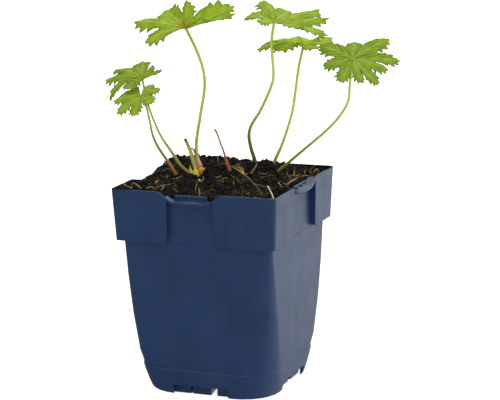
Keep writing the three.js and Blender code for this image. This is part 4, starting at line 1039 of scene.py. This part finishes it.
# ---- Pot ----
FLAT_WITHIN = 0.3  # degrees between two faces that are one flat face
SHARP_FROM = 34  # degrees between two faces from which their edge is rounded
EDGE_ROUND = 0.2


def mark_inner(mesh):
    """Marks the faces inside the pot and on top of its rim, where the plastic paints dried peat and shade.
    """
    values = []
    for face in mesh.polygons:
        inward = -face.normal.xy.dot(face.center.xy.normalized())
        on_rim = face.normal.z > 0.3 and face.center.z > 0.9 * RIM_HEIGHT * MM
        values.append(1.0 if inward > 0.25 or on_rim else 0.0)
    mesh.attributes.new("inner", "FLOAT", "FACE").data.foreach_set("value", values)


def make_pot():
    """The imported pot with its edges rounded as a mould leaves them."""
    shell = bmesh.new()
    shell.from_mesh(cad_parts["pot"].data)
    bmesh.ops.remove_doubles(shell, verts=shell.verts, dist=SAME_PLACE)
    bmesh.ops.dissolve_limit(shell, angle_limit=math.radians(FLAT_WITHIN), verts=shell.verts,
                             edges=shell.edges)
    mesh = bpy.data.meshes.new("nursery_pot")
    shell.to_mesh(mesh)
    shell.free()
    mesh.materials.clear()
    mesh.materials.append(PLASTIC)
    mesh.polygons.foreach_set("use_smooth", [True] * len(mesh.polygons))
    piece = new_object("nursery_pot", mesh)
    # the flat faces are split first, so that rounding their edges can't crease them
    piece.modifiers.new("faces", "TRIANGULATE")
    edges = piece.modifiers.new("edges", "BEVEL")
    edges.width = EDGE_ROUND * MM
    edges.segments = 2
    edges.limit_method = "ANGLE"
    edges.angle_limit = math.radians(SHARP_FROM)
    edges.use_clamp_overlap = False
    shading = piece.modifiers.new("shading", "WEIGHTED_NORMAL")
    shading.keep_sharp = True
    evaluated(piece)
    mark_inner(piece.data)
    finish_piece(piece, "pot_plastic", "pot")


# ---- Crown, cut stalk, roots, straws ----
CROWN_MIDDLE = (-20.4, 16)  # the bud scales stand beside this, with their hollow side to it
SCALE_THICKNESS = 0.35
SCALE_COLUMNS = 6
SCALE_SWEEP = 105  # degrees that a bud scale reaches round on either side


def bud_scale(surface, tint, scale):
    """A pointed, cupped scale that wraps the side of the crown it stands on."""
    line = smooth_route(scale["route"], 6)
    last = len(scale["route"]) - 1
    colours = [Vector(linear(c)[:3]) for c in scale["skin"]]
    rows = []
    for k, (spot, place) in enumerate(line):
        ahead = line[min(k + 1, len(line) - 1)][0] - line[max(k - 1, 0)][0]
        out = Vector((spot.x - CROWN_MIDDLE[0], spot.y - CROWN_MIDDLE[1], 0))
        across = ahead.cross(out).normalized()
        out = across.cross(ahead).normalized()
        share = place / last
        belly = 0.6 + 0.4 * math.sin(math.pi * min(share * 1.3, 1))
        half = scale["width"] * belly * (1 - share ** 3) + 0.05
        row = []
        for column in range(SCALE_COLUMNS + 1):
            angle = math.radians(blend(-SCALE_SWEEP, SCALE_SWEEP, column / SCALE_COLUMNS))
            ridge = 1 + 0.06 * math.cos(column * math.pi)
            offset = (across * math.sin(angle) + out * (math.cos(angle) * 0.7)) * half * ridge
            vertex = surface.verts.new((spot + offset) * MM)
            vertex[tint] = (*value_at(colours, share * (len(colours) - 1)), 1)
            row.append(vertex)
        rows.append(row)
    for low, high in zip(rows, rows[1:]):
        for k in range(SCALE_COLUMNS):
            surface.faces.new((low[k], low[k + 1], high[k + 1], high[k]))


def make_crown():
    crown = make_stalks("crown", CROWN, SHEATH, wobble=0.35, wobble_size=1.6, hairs=0.5)
    finish_piece(crown, "leaf", "leaf_tall_left")
    surface = bmesh.new()
    tint = surface.verts.layers.float_color.new("skin")
    for scale in BUD_SCALES:
        bud_scale(surface, tint, scale)
    bmesh.ops.recalc_face_normals(surface, faces=surface.faces)
    mesh = bpy.data.meshes.new("bud_scales")
    surface.to_mesh(mesh)
    surface.free()
    mesh.materials.append(SHEATH)
    mesh.polygons.foreach_set("use_smooth", [True] * len(mesh.polygons))
    piece = new_object("bud_scales", mesh)
    thick = piece.modifiers.new("scale", "SOLIDIFY")
    thick.thickness = SCALE_THICKNESS * MM
    finish_piece(evaluated(piece), "leaf", "leaf_tall_left")


def make_cut_stalk():
    stalk = make_stalks("dried_stalk", [CUT_STALK], DRY_STALK, wobble=0.3, wobble_size=1.1, hairs=0.2)
    finish_piece(stalk, "dry_stalk", "cut_stalk")


def make_roots():
    runs = [{"route": on_soil(run["plan"], ROOT_LIFT), "radii": [r * ROOT_SLIM for r in run["radii"]],
             "skin": run["skin"]} for run in ROOT_RUNS]
    roots = make_stalks("surface_roots", runs, ROOT, sides=8, wobble=0.2, wobble_size=1.3)
    finish_piece(roots, "root", "root_knot")
    curl = make_stalks("curled_rootlet", [CURLED_ROOT], ROOT, sides=8, wobble=0.2, wobble_size=1.3)
    finish_piece(curl, "root", "curled_root")


def make_straws():
    for name, node, straw in (("straw_piece_right", "straw_right", STRAW_RIGHT),
                              ("straw_piece_left", "straw_left", STRAW_LEFT)):
        finish_piece(make_stalks(name, [straw], STRAW, sides=8, wobble=0.12), "straw", node)


def make_fibres():
    """Single fibres that lie on the peat or stand out of it."""
    runs = []
    for plan, radius, skin in FIBRES:
        route = [(x, y, rough_height(x, y) + over) for x, y, over in plan]
        radii = [radius * 0.9, radius, radius * 0.6]
        runs.append({"route": route, "radii": radii, "skin": skin})
    finish_piece(make_stalks("single_fibres", runs, STRAW, sides=5, wobble=0.15), "peat_soil")


PERLITE_GRAIN = 0.7  # about how wide the lumps of a crumb are


def make_perlite():
    crumbs = bmesh.new()
    for x, y, radius in PERLITE_CRUMBS:
        lump = bmesh.ops.create_icosphere(crumbs, subdivisions=2, radius=radius * MM)["verts"]
        middle = Vector((x, y, rough_height(x, y) + 0.3 * radius)) * MM
        for vertex in lump:
            uneven = 0.5 * noise.noise(vertex.co / (PERLITE_GRAIN * MM) + Vector((x, y, 0)))
            vertex.co = middle + vertex.co * (1 + uneven)
    mesh = bpy.data.meshes.new("perlite_crumbs")
    crumbs.to_mesh(mesh)
    crumbs.free()
    mesh.materials.append(PERLITE)
    finish_piece(new_object("perlite_crumbs", mesh), "peat_soil")


# ---- Studio ----
FLOOR_HALF = 6.0  # metres
BRIGHT_WALL = (0.55, 0.83, 0.0)  # the way to the brightest wall, behind the pot on the right
# Each lamp: degrees round the pot and above the floor, how many degrees wide, and its strength.
LAMPS = {"key": (150, 58, 40, 1.1), "fill": (20, 35, 60, 1.0)}


def make_floor():
    mesh = bpy.data.meshes.new("floor")
    corners = [(x * FLOOR_HALF, y * FLOOR_HALF, 0) for x, y in ((-1, -1), (1, -1), (1, 1), (-1, 1))]
    mesh.from_pydata(corners, [], [(0, 1, 2, 3)])
    mesh.materials.append(lit_acrylic())
    floor = new_object("floor", mesh)
    floor.visible_glossy = False


def make_lamps():
    """Broad lamps, seen by the surfaces only as light and not as a reflection."""
    for name, (turn, height, spread, strength) in LAMPS.items():
        light = bpy.data.lights.new(name, "SUN")
        light.energy = strength
        light.angle = math.radians(spread)
        lamp = new_object(name, light)
        lamp.rotation_euler = (math.radians(90 - height), 0, math.radians(turn))
        lamp.visible_glossy = False


def make_light():
    """A white studio: a soft key light from above and behind, a fill from the front, and pale
    walls that are brighter at the back."""
    world = bpy.data.worlds.new("studio")
    bpy.context.scene.world = world
    world.use_nodes = True
    tree = world.node_tree
    tree.nodes.clear()
    direction = add_node(tree, "ShaderNodeTexCoord").outputs["Generated"]
    towards = add_node(tree, "ShaderNodeVectorMath", {0: direction, 1: BRIGHT_WALL},
                       operation="DOT_PRODUCT")
    bright = add_node(tree, "ShaderNodeMapRange", {0: towards, 1: 0.0, 2: 0.75, 3: 0.16, 4: 1.0})
    upward = add_node(tree, "ShaderNodeSeparateXYZ", {0: direction}).outputs["Z"]
    low = add_node(tree, "ShaderNodeMapRange", {0: upward, 1: -0.42, 2: -0.2, 3: 0.45, 4: 1.0})
    walls = add_node(tree, "ShaderNodeMath", {0: bright, 1: low}, operation="MULTIPLY")
    ceiling = add_node(tree, "ShaderNodeMapRange", {0: upward, 1: 0.45, 2: 0.85, 3: 0.0, 4: 0.8})
    room = add_node(tree, "ShaderNodeMath", {0: walls, 1: ceiling}, operation="ADD")
    around = add_node(tree, "ShaderNodeBackground", {0: (1, 1, 1, 1), 1: room})
    seen = add_node(tree, "ShaderNodeBackground", {0: (1, 1, 1, 1), 1: 1.0})
    path = add_node(tree, "ShaderNodeLightPath").outputs["Is Camera Ray"]
    both = add_node(tree, "ShaderNodeMixShader", {0: path, 1: around, 2: seen})
    add_node(tree, "ShaderNodeOutputWorld", {0: both})
    make_lamps()
    bpy.context.scene.view_settings.view_transform = "Standard"


def make_camera():
    turn, down, roll = (math.radians(a) for a in (VIEW_TURN, VIEW_DOWN, VIEW_ROLL))
    back = Vector((math.sin(turn) * math.cos(down), -math.cos(turn) * math.cos(down), math.sin(down)))
    level = (-back).cross(Vector((0, 0, 1))).normalized()
    upright = level.cross(-back)
    right = level * math.cos(roll) + upright * math.sin(roll)
    up = upright * math.cos(roll) - level * math.sin(roll)
    aim = Vector((0, 0, RIM_HEIGHT)) + level * VIEW_ASIDE - upright * VIEW_BELOW
    data = bpy.data.cameras.new("view")
    data.lens = LENS
    camera = new_object("view", data)
    camera.matrix_world = Matrix.Translation((aim + back * VIEW_DISTANCE) * MM) @ Matrix(
        (right, up, back)).transposed().to_4x4()
    bpy.context.scene.camera = camera


make_camera()
make_floor()
make_light()
make_pot()
make_soil()
make_leaves()
make_crown()
make_cut_stalk()
make_roots()
make_straws()
make_fibres()
make_perlite()
